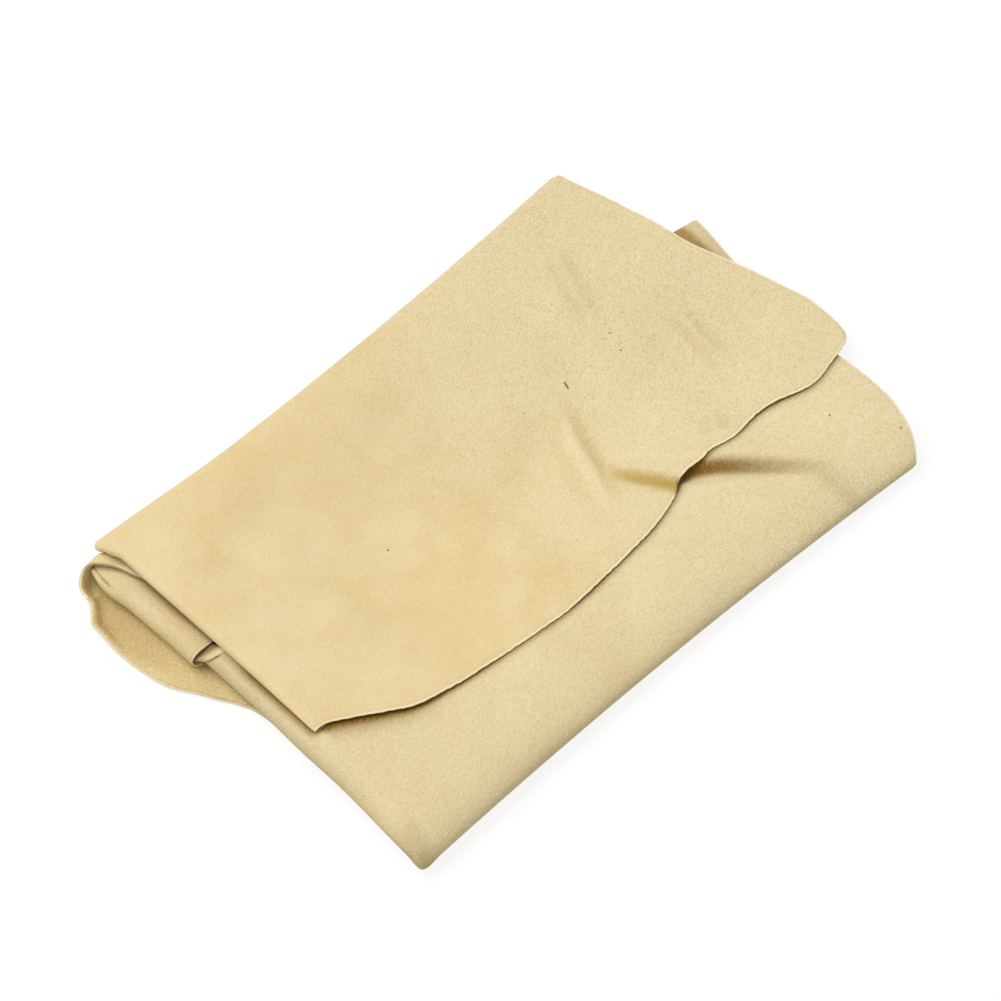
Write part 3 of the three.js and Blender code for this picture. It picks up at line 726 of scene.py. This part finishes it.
# The middle third comes up round the front fold, a full soft bend, and lies over the base with its nap
# side up. Its left side is rolled under along its length, and the roll turns the front corner.
MIDDLE_WIDTH = 300
MIDDLE_LENGTH = 200
BACK_DEPTH = 96.2
BACK_BOW_X = -130
BACK_BOW_RADIUS = 1920
BACK_FOLD_RADIUS = 3.6
LAYER_GAP = 0.9
DROOP = 8
DROOP_RUN = 61
SAG_LEVEL = 6
FRONT_EASE = 22  # how far behind the crease the upper side starts to bend down
FRONT_SAG_RUN = 95
SIDE_SAG_RUN = 110
EDGE_SAG_RUN = 70
MIDDLE_RIGHT_EDGE = [
    (144.4, -112.4), (146.8, -109.4), (150, -105), (153.6, -98), (156.7, -89.5), (159.5, -80.2),
    (161.7, -62.7), (162.8, -48.4), (163.5, -19.8), (160, 30), (154, 70), (150, 113),
]
EVEN_START = 0.05  # share of that edge, from the fold on, over which it starts to wander
FOLD_END_X = 150  # where the fold's right end is, and where it meets the table
FOLD_END_BELOW = 139
HALF_TURN = np.radians(np.linspace(180, 0, TURN_ROWS))
SAG_WRINKLE = [(46, -14), (56, -32), (67.3, -46.3), (79.3, -55.8), (96.6, -75.2), (116.5, -96.5), (131, -108)]
STILL_SIDE = 30  # how far in from the rolled side the ripples start


def back_crease(x):
    return BACK_DEPTH + (x - BACK_BOW_X) ** 2 / (2 * BACK_BOW_RADIUS)


def back_panel_line(x):
    return back_crease(x) - BACK_FOLD_RADIUS


def beside_line(points, x, y, pieces=24):
    """How far along a line of points each place lies, from 0 to 1, and how far to the right of it."""
    line = curve_through(points, np.linspace(0, 1, pieces + 1))
    best = np.full(np.shape(x), np.inf)
    share = np.zeros(np.shape(x))
    side = np.zeros(np.shape(x))
    for k, (a, b) in enumerate(zip(line, line[1:])):
        run = b - a
        t = ((x - a[0]) * run[0] + (y - a[1]) * run[1]) / (run @ run)
        t = np.clip(t, -np.inf if k == 0 else 0, np.inf if k == pieces - 1 else 1)
        dx = x - a[0] - t * run[0]
        dy = y - a[1] - t * run[1]
        away = dx ** 2 + dy ** 2
        near = away < best
        best = np.where(near, away, best)
        share = np.where(near, (k + t) / pieces, share)
        side = np.where(near, np.sign(dx * run[1] - dy * run[0]) * np.sqrt(away), side)
    return share, side


RIPPLE_HEIGHT = 0.16
RIPPLE_LENGTHS = (34, 47, 61, 83)


def ripple(x, y, seed):
    """Slow unevenness of a hide that has never lain quite flat."""
    draw = np.random.default_rng(seed)
    total = 0
    for length in RIPPLE_LENGTHS:
        heading, phase = draw.uniform(0, 2 * np.pi, 2)
        total = total + np.sin(2 * np.pi * (x * np.cos(heading) + y * np.sin(heading)) / length + phase)
    return RIPPLE_HEIGHT * total


CREST = (-6, 7)  # where these lie beside the line of a slack fold, and how wide each is
TROUGH = (3.5, 5)
CREASE = (0.5, 3.5)
CREASE_DEPTH = 1.4
DARKENED_RUN = 0.25  # share of the line over which the darkening at its start passes into that at its end


def slack_fold(points, x, y, crest, trough, fade, darkened):
    """A slack fold along a line: a crest on its left and a trough on its right, fading at its ends, and
    how dark it is painted at its start and at its end, for its crease and for the shade along it."""
    share, side = beside_line(points, x, y)
    strength = faded(share, *fade)
    rise = crest * bell(side, *CREST) - trough * bell(side, *TROUGH)
    crease_dirt_shade = np.minimum(CREASE_DEPTH * bell(side, *CREASE), 1)
    crease_dirt_shade = crease_dirt_shade * mix(*darkened, smooth(share, fade[1], fade[1] + DARKENED_RUN))
    return strength * rise, strength * crease_dirt_shade


def front_line(x):
    return front_crease(x) + FRONT_EASE


def held_level(x, y):
    """Height of the middle third: held up along the front fold, its rolled side and the turned edge of
    the base, it sags between them, and droops behind that edge."""
    front = 2 * front_radius(x) - LEATHER / 2
    on_edge = 2 * edge_radius(x) + LAYER_GAP + LEATHER / 2
    held = mix(front, on_edge, smooth(y, front_line(x), edge_crease(x)))
    from_front = smooth(y - front_line(x), 0, FRONT_SAG_RUN)
    from_side = smooth(x - MIDDLE_LEFT, 0, SIDE_SAG_RUN)
    from_edge = smooth(edge_crease(x) - y, 0, EDGE_SAG_RUN)
    sag = (held - SAG_LEVEL) * from_front * from_side * from_edge
    overhang = np.maximum(back_panel_line(x) - edge_crease(x), 1e-6)
    drop = DROOP * (overhang / DROOP_RUN) ** 2 * smooth((y - edge_crease(x)) / overhang, 0, 1)
    return held - sag - drop


def middle_level(x, y):
    """Height of the middle third with its slack fold and ripples, and how hard it is creased, with the shade
    painted along that fold.
    """
    rise, crease_dirt_shade = slack_fold(
        SAG_WRINKLE, x, y, crest=2, trough=2.8, fade=(0, 0.3, 0.36, 0.95), darkened=(1, 0.92)
    )
    off_side = smooth(x - MIDDLE_LEFT, 0, STILL_SIDE)
    return held_level(x, y) + rise + ripple(x, y, seed=5) * off_side, crease_dirt_shade


FLAP_LEFT = -139.4
FLAP_LEFT_FRONT = -36.2
FLAP_FRONT_EDGE = [  # raw edge of the flap, along which its shadow is painted on the middle third
    (-134.8, -37), (-125.3, -42.4), (-113.2, -49.6), (-97, -57), (-50.4, -62.9), (-19.5, -64.6),
    (26.4, -60.7), (46.9, -55.9), (52.6, -53.9), (56.4, -52.3), (59, -49.8), (64, -48.8), (74.2, -48.3),
    (81.5, -47.6), (87, -48.3), (97, -49), (112, -47.5), (124, -49.1), (141, -53.7), (157, -50.6),
    (164.2, -48.7), (168.5, -47.5), (171.6, -46.2),
]
FLAP_EDGE_PIECES = 90
# painted shadow of the flap's raw edge on the middle third
FLAP_EDGE_SHADOW = 0.85
FLAP_EDGE_SHADOW_WIDTH = 2
NOTCH_SHADOW = 0.5  # around the notch that the flap's slack fold draws into this edge
NOTCH_SHADOW_X = (71, 9)
NOTCH_SHADOW_WIDTH = 4
LEFT_SHADOW = 0.7  # near the left end of this edge
LEFT_SHADOW_WIDTH = 6
LEFT_SHADOW_X = (MIDDLE_LEFT, -137, -125, -85)


def painted_shadow_of_flap(x, y):
    """The painted shadow of the flap's raw edge on the middle third."""
    _, ahead = beside_line([(FLAP_LEFT, FLAP_LEFT_FRONT), *FLAP_FRONT_EDGE], x, y, FLAP_EDGE_PIECES)
    near_notch = bell(x, *NOTCH_SHADOW_X) * bell(ahead, 0, NOTCH_SHADOW_WIDTH)
    near_left = bell(ahead, 0, LEFT_SHADOW_WIDTH) * faded(x, *LEFT_SHADOW_X)
    return FLAP_EDGE_SHADOW * bell(ahead, 0, FLAP_EDGE_SHADOW_WIDTH) + NOTCH_SHADOW * near_notch + LEFT_SHADOW * near_left


def middle_panel(v, u):
    right_y = mix(front_crease(FOLD_END_X) + FRONT_EASE, MIDDLE_RIGHT_EDGE[-1][1], v)
    right_x = edge_at(MIDDLE_RIGHT_EDGE, right_y)
    right_x = right_x + ragged(MIDDLE_LENGTH * v, seed=11) * smooth(v, 0, EVEN_START)
    x = mix(MIDDLE_LEFT, right_x, u)
    y = mix(front_line(x), back_panel_line(x), v)
    level, crease_dirt_shade = middle_level(x, y)
    return with_crease_dirt_shade(x, y, level, np.minimum(np.maximum(crease_dirt_shade, painted_shadow_of_flap(x, y)), 1))


def front_fold(u):
    angle = HALF_TURN[:-1, None]
    above = np.cos(angle) >= 0
    deep = np.sin(angle) * (FRONT_EASE - LEATHER / 2)
    fold_end = front_crease(FOLD_END_X)
    end_above = edge_at(MIDDLE_RIGHT_EDGE, fold_end + FRONT_EASE - deep)
    end_below = mix(FOLD_END_BELOW, edge_at(MIDDLE_RIGHT_EDGE, fold_end + LEATHER / 2), np.sin(angle))
    x = mix(MIDDLE_LEFT, np.where(above, end_above, end_below), u)
    radius = front_radius(x)
    bend = radius - LEATHER / 2
    top, crease_dirt_shade = middle_level(x, front_line(x))
    y = np.where(above, front_line(x) - deep, front_panel_line(x) - bend * np.sin(angle))
    z = radius + np.where(above, top - radius, bend) * np.cos(angle)
    return with_crease_dirt_shade(x, y, z, crease_dirt_shade * (1 + np.cos(angle)) / 2)


SIDE_REACH = 6.9  # from where the panel is flat to the outermost line of its rolled side
SIDE_SWELL = 1.2  # how much further it reaches beside the flap's corner, and again at the front corner
SIDE_SWELL_RUN = (0, 40)
SIDE_FLARE = 2.8
SIDE_FLARE_RUN = (50, 108)
SIDE_END = 20  # where the roll's end starts on the panel
SIDE_END_SLANT = 13
SIDE_HANDLED = 0.1  # how dirty the side is all over, but for the corner, and the painted shade under the flap
HANDLED_FROM = 0.3
SIDE_SHADE = 0.95
SIDE_SHADE_X = (-145.5, -141.2)
SIDE_SHADE_Y = (-40, -34)
SIDE_SHADE_LOST = 0.5
SIDE_SHADE_LOST_Y = (2, 18)
RIM_SHADE_WIDTH = 2
NECK_END = 33  # the roll flares into a rim there, and its skin goes on into the open end of the inner roll
NECK_RIM = 1
NECK_RIM_END = 0.02  # share of the neck over which it flares, with the first row of cells behind it
NECK_FIRST = 0.025
NECK_IN = 0.75
NECK_REACH = 9.6
NECK_HALF = 3.4
NECK_SHADE = 0.8
NECK_SHADE_FROM = (0.1, 0.65)


def side_reach(y):
    return SIDE_REACH + SIDE_SWELL * smooth(-y, *SIDE_SWELL_RUN) + SIDE_FLARE * smooth(-y, *SIDE_FLARE_RUN)


def rolled_side(corner_y, along):
    """Grids of the rolled left side, and of the neck at its back end."""
    turn = HALF_TURN[None, :]
    cut_y = np.minimum(SIDE_END + SIDE_END_SLANT * np.sin(turn / 2) ** 2, ROLL_FRONT - LEATHER / 2)
    y = mix(corner_y, cut_y, along)
    top, _ = middle_level(MIDDLE_LEFT + 0 * y, y)
    x = MIDDLE_LEFT - side_reach(y) * np.sin(turn)
    under_flap = smooth(x, *SIDE_SHADE_X) * smooth(y, *SIDE_SHADE_Y)
    under_flap = under_flap * (1 - SIDE_SHADE_LOST * smooth(y, *SIDE_SHADE_LOST_Y)) * (np.cos(turn) > 0)
    under_rim = smooth(y - cut_y, -RIM_SHADE_WIDTH, 0) * np.sin(turn)
    handled = SIDE_HANDLED * np.sin(turn) * smooth(along, 0, HANDLED_FROM)
    crease_dirt_shade = np.maximum(np.maximum(handled, SIDE_SHADE * under_flap), under_rim)
    side = with_crease_dirt_shade(x, y, round_between(INNER_LEVEL, top, turn), crease_dirt_shade)

    into = np.hstack([0, NECK_FIRST, steps(NECK_END - SIDE_END, FINER)[1:]])[:, None]
    goes_in = smooth(into, NECK_RIM_END, NECK_IN)
    top, _ = middle_level(MIDDLE_LEFT + 0 * cut_y, cut_y)
    half = mix((top - INNER_LEVEL) / 2, NECK_HALF, goes_in)
    centre = mix((top + INNER_LEVEL) / 2, INNER_LEVEL + ROLL_BEND, goes_in)
    reach = mix(side_reach(cut_y) + NECK_RIM * smooth(into, 0, NECK_RIM_END), NECK_REACH, goes_in)
    x = MIDDLE_LEFT - reach * np.sin(turn)
    shade = NECK_SHADE * smooth(into, *NECK_SHADE_FROM)
    neck = with_crease_dirt_shade(x, mix(cut_y, NECK_END, into), centre + half * np.cos(turn), shade)
    return side, neck


CORNER_SQUARENESS = 9
CORNER_ROWS = 25
CORNER_DROP = 3  # how much lower the corner is widest
CORNER_SHADE = 0.35


def corner_reach(heading, to_side, to_end, squareness):
    """How far out a corner goes at each heading between the reach of its side and that of its end."""
    shares = (np.cos(heading) / to_side) ** squareness + (np.sin(heading) / to_end) ** squareness
    return shares ** (-1 / squareness)


def front_corner(corner_y):
    turn = HALF_TURN[None, :]
    radius = front_radius(MIDDLE_LEFT)
    pole_y = front_panel_line(MIDDLE_LEFT)
    heading = np.radians(np.linspace(90, 0, CORNER_ROWS))
    reach = corner_reach(heading, side_reach(pole_y), radius - LEATHER / 2, CORNER_SQUARENESS)
    straight_y = mix(pole_y, corner_y, steps(corner_y - pole_y))[1:]
    out_x = np.hstack([-reach * np.cos(heading), -side_reach(straight_y)])[:, None]
    out_y = np.hstack([pole_y - reach * np.sin(heading), straight_y])[:, None]
    turned = 1 - steps(len(out_x) - 1, 1)[:, None]
    top, _ = middle_level(np.array(MIDDLE_LEFT), np.array(corner_y))
    floor = mix(INNER_LEVEL, BASE_LEVEL, smooth(turned, 0, 1))
    dropped = CORNER_DROP * np.hstack([np.sin(2 * heading) ** 2, 0 * straight_y])[:, None]
    middle_z = mix((top + INNER_LEVEL) / 2, radius, smooth(turned, 0, 1)) - dropped
    from_y = np.where(np.cos(turn) >= 0, corner_y, np.maximum(out_y, pole_y))
    half = np.where(np.cos(turn) >= 0, top - middle_z, middle_z - floor)
    return with_crease_dirt_shade(
        MIDDLE_LEFT + out_x * np.sin(turn), mix(from_y, out_y, np.sin(turn)), middle_z + half * np.cos(turn),
        CORNER_SHADE * np.sin(np.pi * turned) * np.sin(turn),
    )


LINING_WIDTH = 38
LINING_START = 15
HIDDEN_CELL = 4


def middle_third():
    """Grids of the fold with the panel, the rolled side with its neck, the corner and the lining."""
    corner_y = front_line(MIDDLE_LEFT)
    back_y = back_panel_line(MIDDLE_LEFT)
    side_y = mix(corner_y, SIDE_END, steps(SIDE_END - corner_y))
    behind_y = mix(SIDE_END, back_y, steps(back_y - SIDE_END, COARSE))[1:]
    v = ((np.hstack([side_y, behind_y]) - corner_y) / (back_y - corner_y))[:, None]
    u = steps(MIDDLE_WIDTH)[None, :]
    side, neck = rolled_side(corner_y, ((side_y - corner_y) / (SIDE_END - corner_y))[:, None])
    lined = side[side[:, 0, 1] >= front_crease(MIDDLE_LEFT) + LINING_START]
    inward = (LINING_WIDTH * steps(LINING_WIDTH, HIDDEN_CELL)[::-1])[None, :, None]
    lining = lined[:, :1] + inward * np.array([1, 0, 0, 0])
    upper = np.vstack([front_fold(u), middle_panel(v, u)])
    return [upper, np.vstack([side, neck[1:]]), front_corner(corner_y), lining]


# its third colour is that of its creases and dirt, and of the shade painted on it
middle_nap = chamois_suede(
    "chamois_suede_middle_nap", ("E8D8AD", "E2CE9F", "86600A"), 1, 1.75, rough=(1, 1.4),
    specks=[(132.5, -71.5), (149.4, -98.2)]
)
middle_grids = middle_third()
joined = [middle_grids[0][0], middle_grids[0][-1]]
middle = skin("middle_third", middle_grids, (middle_nap, flesh_side), joined=joined)
start, end = across_crease("front_fold", slope=0.04, lift=0.09, offset=(0, 0, 3.3))
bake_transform(middle)
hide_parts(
    "front_fold_lower", "front_fold_upper", "middle_panel", "middle_side_bend", "middle_lining"
)

# The flap is the last third, folded forward over the middle in a small tight loop along the back. Its
# left side is turned under in a hairpin, its front edge is raw, and a slack fold draws a notch into it.
FLAP_WIDTH = 310
FLAP_LENGTH = 140
FLAP_RIGHT_LENGTH = 160
EVEN_CORNER = 0.03  # share of a raw edge, from a corner on, over which it starts to wander
BACK_BEND = BACK_FOLD_RADIUS - LEATHER / 2
BACK_LIFT_RUN = 45
BACK_RIGHT_X = 150.5
BACK_ROUNDING = 7  # of the corner at the right end of the back fold
FLAP_REST = 1.32  # from the middle of the panel below to the middle of the flap where it lies on it
FLAP_CLEAR = 0.06  # the least room between their surfaces, and how softly the flap is kept off it
FLAP_CLEAR_EASE = 0.1
FLAP_BEND = 2.2
FLAP_SIDE_RUN = 66
FLAP_LINING_WIDTH = 38
FLAP_LINING_BACK = 34
LINING_END = FLAP_LINING_WIDTH + 2
LINING_LEVEL = 0.5  # how much of the turned side's height is left where its lining ends
TURNED_HEIGHT = 2 * FLAP_BEND + 0.5
TURNED_FRONT = 0.27  # share of that height at the front of the turned side, which opens over TURNED_Y
TURNED_Y = (-40, 10)
FLAP_TIP = (173.8, -44)
FLAP_RIGHT_EDGE = [
    (175.6, -40), (177.4, -33), (178.4, -24), (177.9, -11.5), (169.1, 21.5), (162.4, 43.5), (158.4, 76.8),
    (154.7, 93.9),
]
FLAP_WRINKLE = [(41, -13), (43.6, -21.3), (46.3, -28.6), (52.2, -40.8), (56.8, -50.6), (59.4, -57)]
FLAP_RIDGE = [(56, 27), (54, 18), (50.4, 8), (44.6, -4), (39.2, -19), (32.2, -36), (28.6, -45)]
RIDGE_HEIGHT = 1.9
RIDGE_WIDTHS = (1.8, 4)  # on its left and on its right
RIDGE_FADE = (0, 0.35, 0.6, 1)
HOLLOWS = [(0.4, -4, 3), (0.15, 9, 4)]  # how much shade is painted in the hollows beside it, where, and how wide
SOFT_CREASES = [
    [(116, 84.5), (108.5, 68.6), (102.2, 54.1), (95.8, 40.2)],
    [(131.1, 21), (128.8, 9.5), (127, -3.3), (124.1, -16.5)],
    [(97, -34), (94.5, -39), (92.6, -43.2)],
]
SOFT_HEIGHT = 0.8
SOFT_WIDTH = 1.6
SOFT_FADE = (-0.1, 0.3, 0.7, 1.1)
SOFT_SHADE = 0.22  # painted shade in the hollows on both sides of a crease
SOFT_HOLLOW = (4, 3)
RIM_DIP = 0.2  # of the thin raw front edge, which lies closer to the middle third than the rest
NOTCH = (69, -47)
NOTCH_LIFT = 1.6
NOTCH_SPREAD = 11
EDGE_LIFT = 1  # of the raw edge near its right end
EDGE_LIFT_AT = (128, -50)
EDGE_LIFT_SPREAD = 16
STILL_RUN = 25  # how far in from the back fold and the turned side the ripples start


def lifted_at(x, y, centre, spread):
    """1 at the centre of a soft lift, falling away evenly all round it."""
    return np.exp(-((x - centre[0]) ** 2 + (y - centre[1]) ** 2) / spread ** 2)


def flap_level(x, y):
    """Height of the flap, which lies on the middle third and is lifted along its back fold and its
    turned side, with its wrinkles, and how hard it is creased, with shade painted in its folds and in
    the hollows beside its ridges."""
    before_fold = back_panel_line(x) - y
    back_lift = 1 - smooth(before_fold, 0, BACK_LIFT_RUN)
    inside = x - FLAP_LEFT
    open_up = smooth(y, *TURNED_Y)
    side_lift = mix(1, mix(1, LINING_LEVEL, open_up), smooth(inside, 0, LINING_END))
    side_lift = side_lift * (1 - smooth(inside, LINING_END, FLAP_SIDE_RUN))
    under, _ = middle_level(x, y)
    loop = (2 * BACK_BEND - FLAP_REST) * back_lift
    turned = TURNED_HEIGHT * mix(TURNED_FRONT, 1, open_up)
    flat = held_level(x, y) + FLAP_REST + loop + turned * side_lift * (1 - back_lift)
    rise, crease_dirt_shade = slack_fold(FLAP_WRINKLE, x, y, crest=1.5, trough=2, fade=(0, 0.5, 2, 3), darkened=(0.9, 1))
    share, side = beside_line(FLAP_RIDGE, x, y)
    strength = faded(share, *RIDGE_FADE)
    ridge = RIDGE_HEIGHT * strength * bell(side, 0, np.where(side < 0, *RIDGE_WIDTHS))
    crease_dirt_shade = np.maximum(crease_dirt_shade, strength * sum(shading * bell(side, *hollow) for shading, *hollow in HOLLOWS))
    for crease in SOFT_CREASES:
        share, side = beside_line(crease, x, y)
        strength = faded(share, *SOFT_FADE)
        ridge = ridge + SOFT_HEIGHT * strength * bell(side, 0, SOFT_WIDTH)
        crease_dirt_shade = np.maximum(crease_dirt_shade, SOFT_SHADE * strength * bell(np.abs(side), *SOFT_HOLLOW))
    lift = NOTCH_LIFT * lifted_at(x, y, NOTCH, NOTCH_SPREAD)
    lift = lift + EDGE_LIFT * lifted_at(x, y, EDGE_LIFT_AT, EDGE_LIFT_SPREAD)
    still = smooth(before_fold, 0, STILL_RUN) * smooth(inside, 0, STILL_RUN)
    level = flat + rise + ridge + lift + ripple(x, y, seed=8) * still
    clear = under + LEATHER + FLAP_CLEAR
    level = 0.5 * (level + clear + np.sqrt((level - clear) ** 2 + FLAP_CLEAR_EASE ** 2))
    return level, crease_dirt_shade


def flap_panel(u, v, back_y):
    front = curve_through([(FLAP_LEFT, FLAP_LEFT_FRONT), *FLAP_FRONT_EDGE, FLAP_TIP], u)
    front[:, 1] += ragged(FLAP_WIDTH * u, seed=21) * smooth(u, 0, EVEN_CORNER)
    back_x = mix(FLAP_LEFT, BACK_RIGHT_X, u)
    back = np.stack([back_x, back_panel_line(back_x)], -1)
    left = np.stack([np.full(len(v), FLAP_LEFT), mix(FLAP_LEFT_FRONT, back_y, v)], -1)
    right = curve_through([front[-1], *FLAP_RIGHT_EDGE, back[-1]], v)
    even_ends = smooth(v, 0, EVEN_CORNER) * smooth(1 - v, 0, EVEN_CORNER)
    right[:, 0] += ragged(FLAP_RIGHT_LENGTH * v, seed=22) * even_ends
    s = u[None, :, None]
    t = v[:, None, None]
    plan = mix(front[None], back[None], t) + mix(left[:, None], right[:, None], s)
    plan -= mix(mix(front[0], front[-1], s), mix(back[0], back[-1], s), t)
    x = plan[..., 0]
    y = plan[..., 1]
    panel = with_crease_dirt_shade(x, y, *flap_level(x, y))
    panel[0, 1:, 2] -= RIM_DIP * (1 - bell(x[0, 1:], NOTCH[0], NOTCH_SPREAD))
    return panel


SIDE_LOBE = 2.6  # how far the turned side stands out at the back corner, and over what length
SIDE_LOBE_RUN = 9
BACK_LOBE = 2  # and the back fold, from that corner to BACK_LOBE_END
BACK_LOBE_END = -65
CORNER_EAR = 2.3  # and the lower half of the corner between them, which also hangs lower
CORNER_EAR_HALF = (-0.5, 0.4)
CORNER_HANG = 1.2
CORNER_ROUNDNESS = 3
BACK_CORNER_ROWS = 17
UPRIGHT = 0.7  # how much squarer the lower half of the bends is at this corner, and at its ear
EAR_UPRIGHT = 0.15


def back_fold(u):
    angle = HALF_TURN[::-2][1:, None]
    x = mix(FLAP_LEFT, BACK_RIGHT_X - BACK_ROUNDING * np.sin(angle) ** 2, u[None, :])
    bottom, _ = middle_level(x, back_panel_line(x))
    top, crease_dirt_shade = flap_level(x, back_panel_line(x))
    upright = 1 - smooth(x - FLAP_LEFT, 0, SIDE_LOBE_RUN)
    lobe = BACK_LOBE * (1 - smooth(x, FLAP_LEFT, BACK_LOBE_END))
    out = np.maximum(np.sin(angle), 0) ** np.where(np.cos(angle) < 0, 1 - UPRIGHT * upright, 1)
    y = back_panel_line(x) + (BACK_BEND + lobe) * out
    return with_crease_dirt_shade(x, y, round_between(bottom, top, angle), crease_dirt_shade)


def turned_side(v, back_y):
    turn = HALF_TURN[::2][None, :]
    y = mix(FLAP_LEFT_FRONT, back_y, v)[:, None] + 0 * turn
    x = FLAP_LEFT + 0 * y
    top, _ = flap_level(x, y)
    bottom = middle_level(x, y)[0] + FLAP_REST
    upright = smooth(y, back_y - SIDE_LOBE_RUN, back_y)
    out = np.sin(turn) ** np.where(np.cos(turn) < 0, 1 - UPRIGHT * upright, 1)
    reach = (FLAP_BEND + SIDE_LOBE * upright) * out
    return with_crease_dirt_shade(x - reach, y, round_between(bottom, top, turn))


def back_corner(back_y):
    turn = HALF_TURN[::2][None, :]
    heading = np.radians(np.linspace(0, 90, BACK_CORNER_ROWS))[:, None]
    pole = np.array(FLAP_LEFT), np.array(back_y)
    top, _ = flap_level(*pole)
    ear = np.sin(2 * heading) ** 2
    on_middle = FLAP_REST * (1 - smooth(heading / (np.pi / 2), 0, 1))
    bottom = middle_level(*pole)[0] + on_middle - CORNER_HANG * ear
    reach = corner_reach(heading, FLAP_BEND + SIDE_LOBE, BACK_BEND + BACK_LOBE, CORNER_ROUNDNESS)
    reach = reach + CORNER_EAR * ear * smooth(-np.cos(turn), *CORNER_EAR_HALF)
    reach = reach * np.sin(turn) ** np.where(np.cos(turn) < 0, 1 - UPRIGHT - EAR_UPRIGHT * ear, 1)
    x = pole[0] - reach * np.cos(heading)
    y = pole[1] + reach * np.sin(heading)
    return with_crease_dirt_shade(x, y, round_between(bottom, top, turn))


def flap():
    """Grids of the flap with its back fold, the turned left side, the back left corner and the lining."""
    u = steps(FLAP_WIDTH)
    v = steps(FLAP_LENGTH)
    back_y = back_panel_line(FLAP_LEFT)
    side = turned_side(v, back_y)
    lined = side[side[:, 0, 1] <= back_crease(FLAP_LEFT) - FLAP_LINING_BACK]
    inward = FLAP_LINING_WIDTH * steps(FLAP_LINING_WIDTH, HIDDEN_CELL)[None, ::-1]
    x = FLAP_LEFT + inward
    y = lined[:, :1, 1] + 0 * inward
    lining = with_crease_dirt_shade(x, y, middle_level(x, y)[0] + FLAP_REST)
    return [np.vstack([flap_panel(u, v, back_y), back_fold(u)]), side, back_corner(back_y), lining]


# its third colour is that of its creases and dirt, and of the shade painted on it
flap_nap = chamois_suede(
    "chamois_suede_flap_nap", ("E6D3A6", "DFC895", "C6A858"), 0.9, 1.4, rough=(0.7, 2.1),
    specks=[
        (64.7, 25.1), (64.5, 24.4), (64.3, 23.7), (64.1, 23), (63.9, 22.3), (98.4, 30.1), (95.4, 20.3),
        (-53.3, 14.4),
    ],
)
flap_grids = flap()
top_flap = skin("flap_third", flap_grids, (flap_nap, flesh_side), joined=[flap_grids[0][-1]])
start, end = across_crease("back_fold", slope=-0.087, lift=0.58, offset=(0, 0, 2.6))
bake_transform(top_flap)
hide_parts("back_fold_lower", "back_fold_upper", "top_flap", "flap_side_bend", "flap_lining")
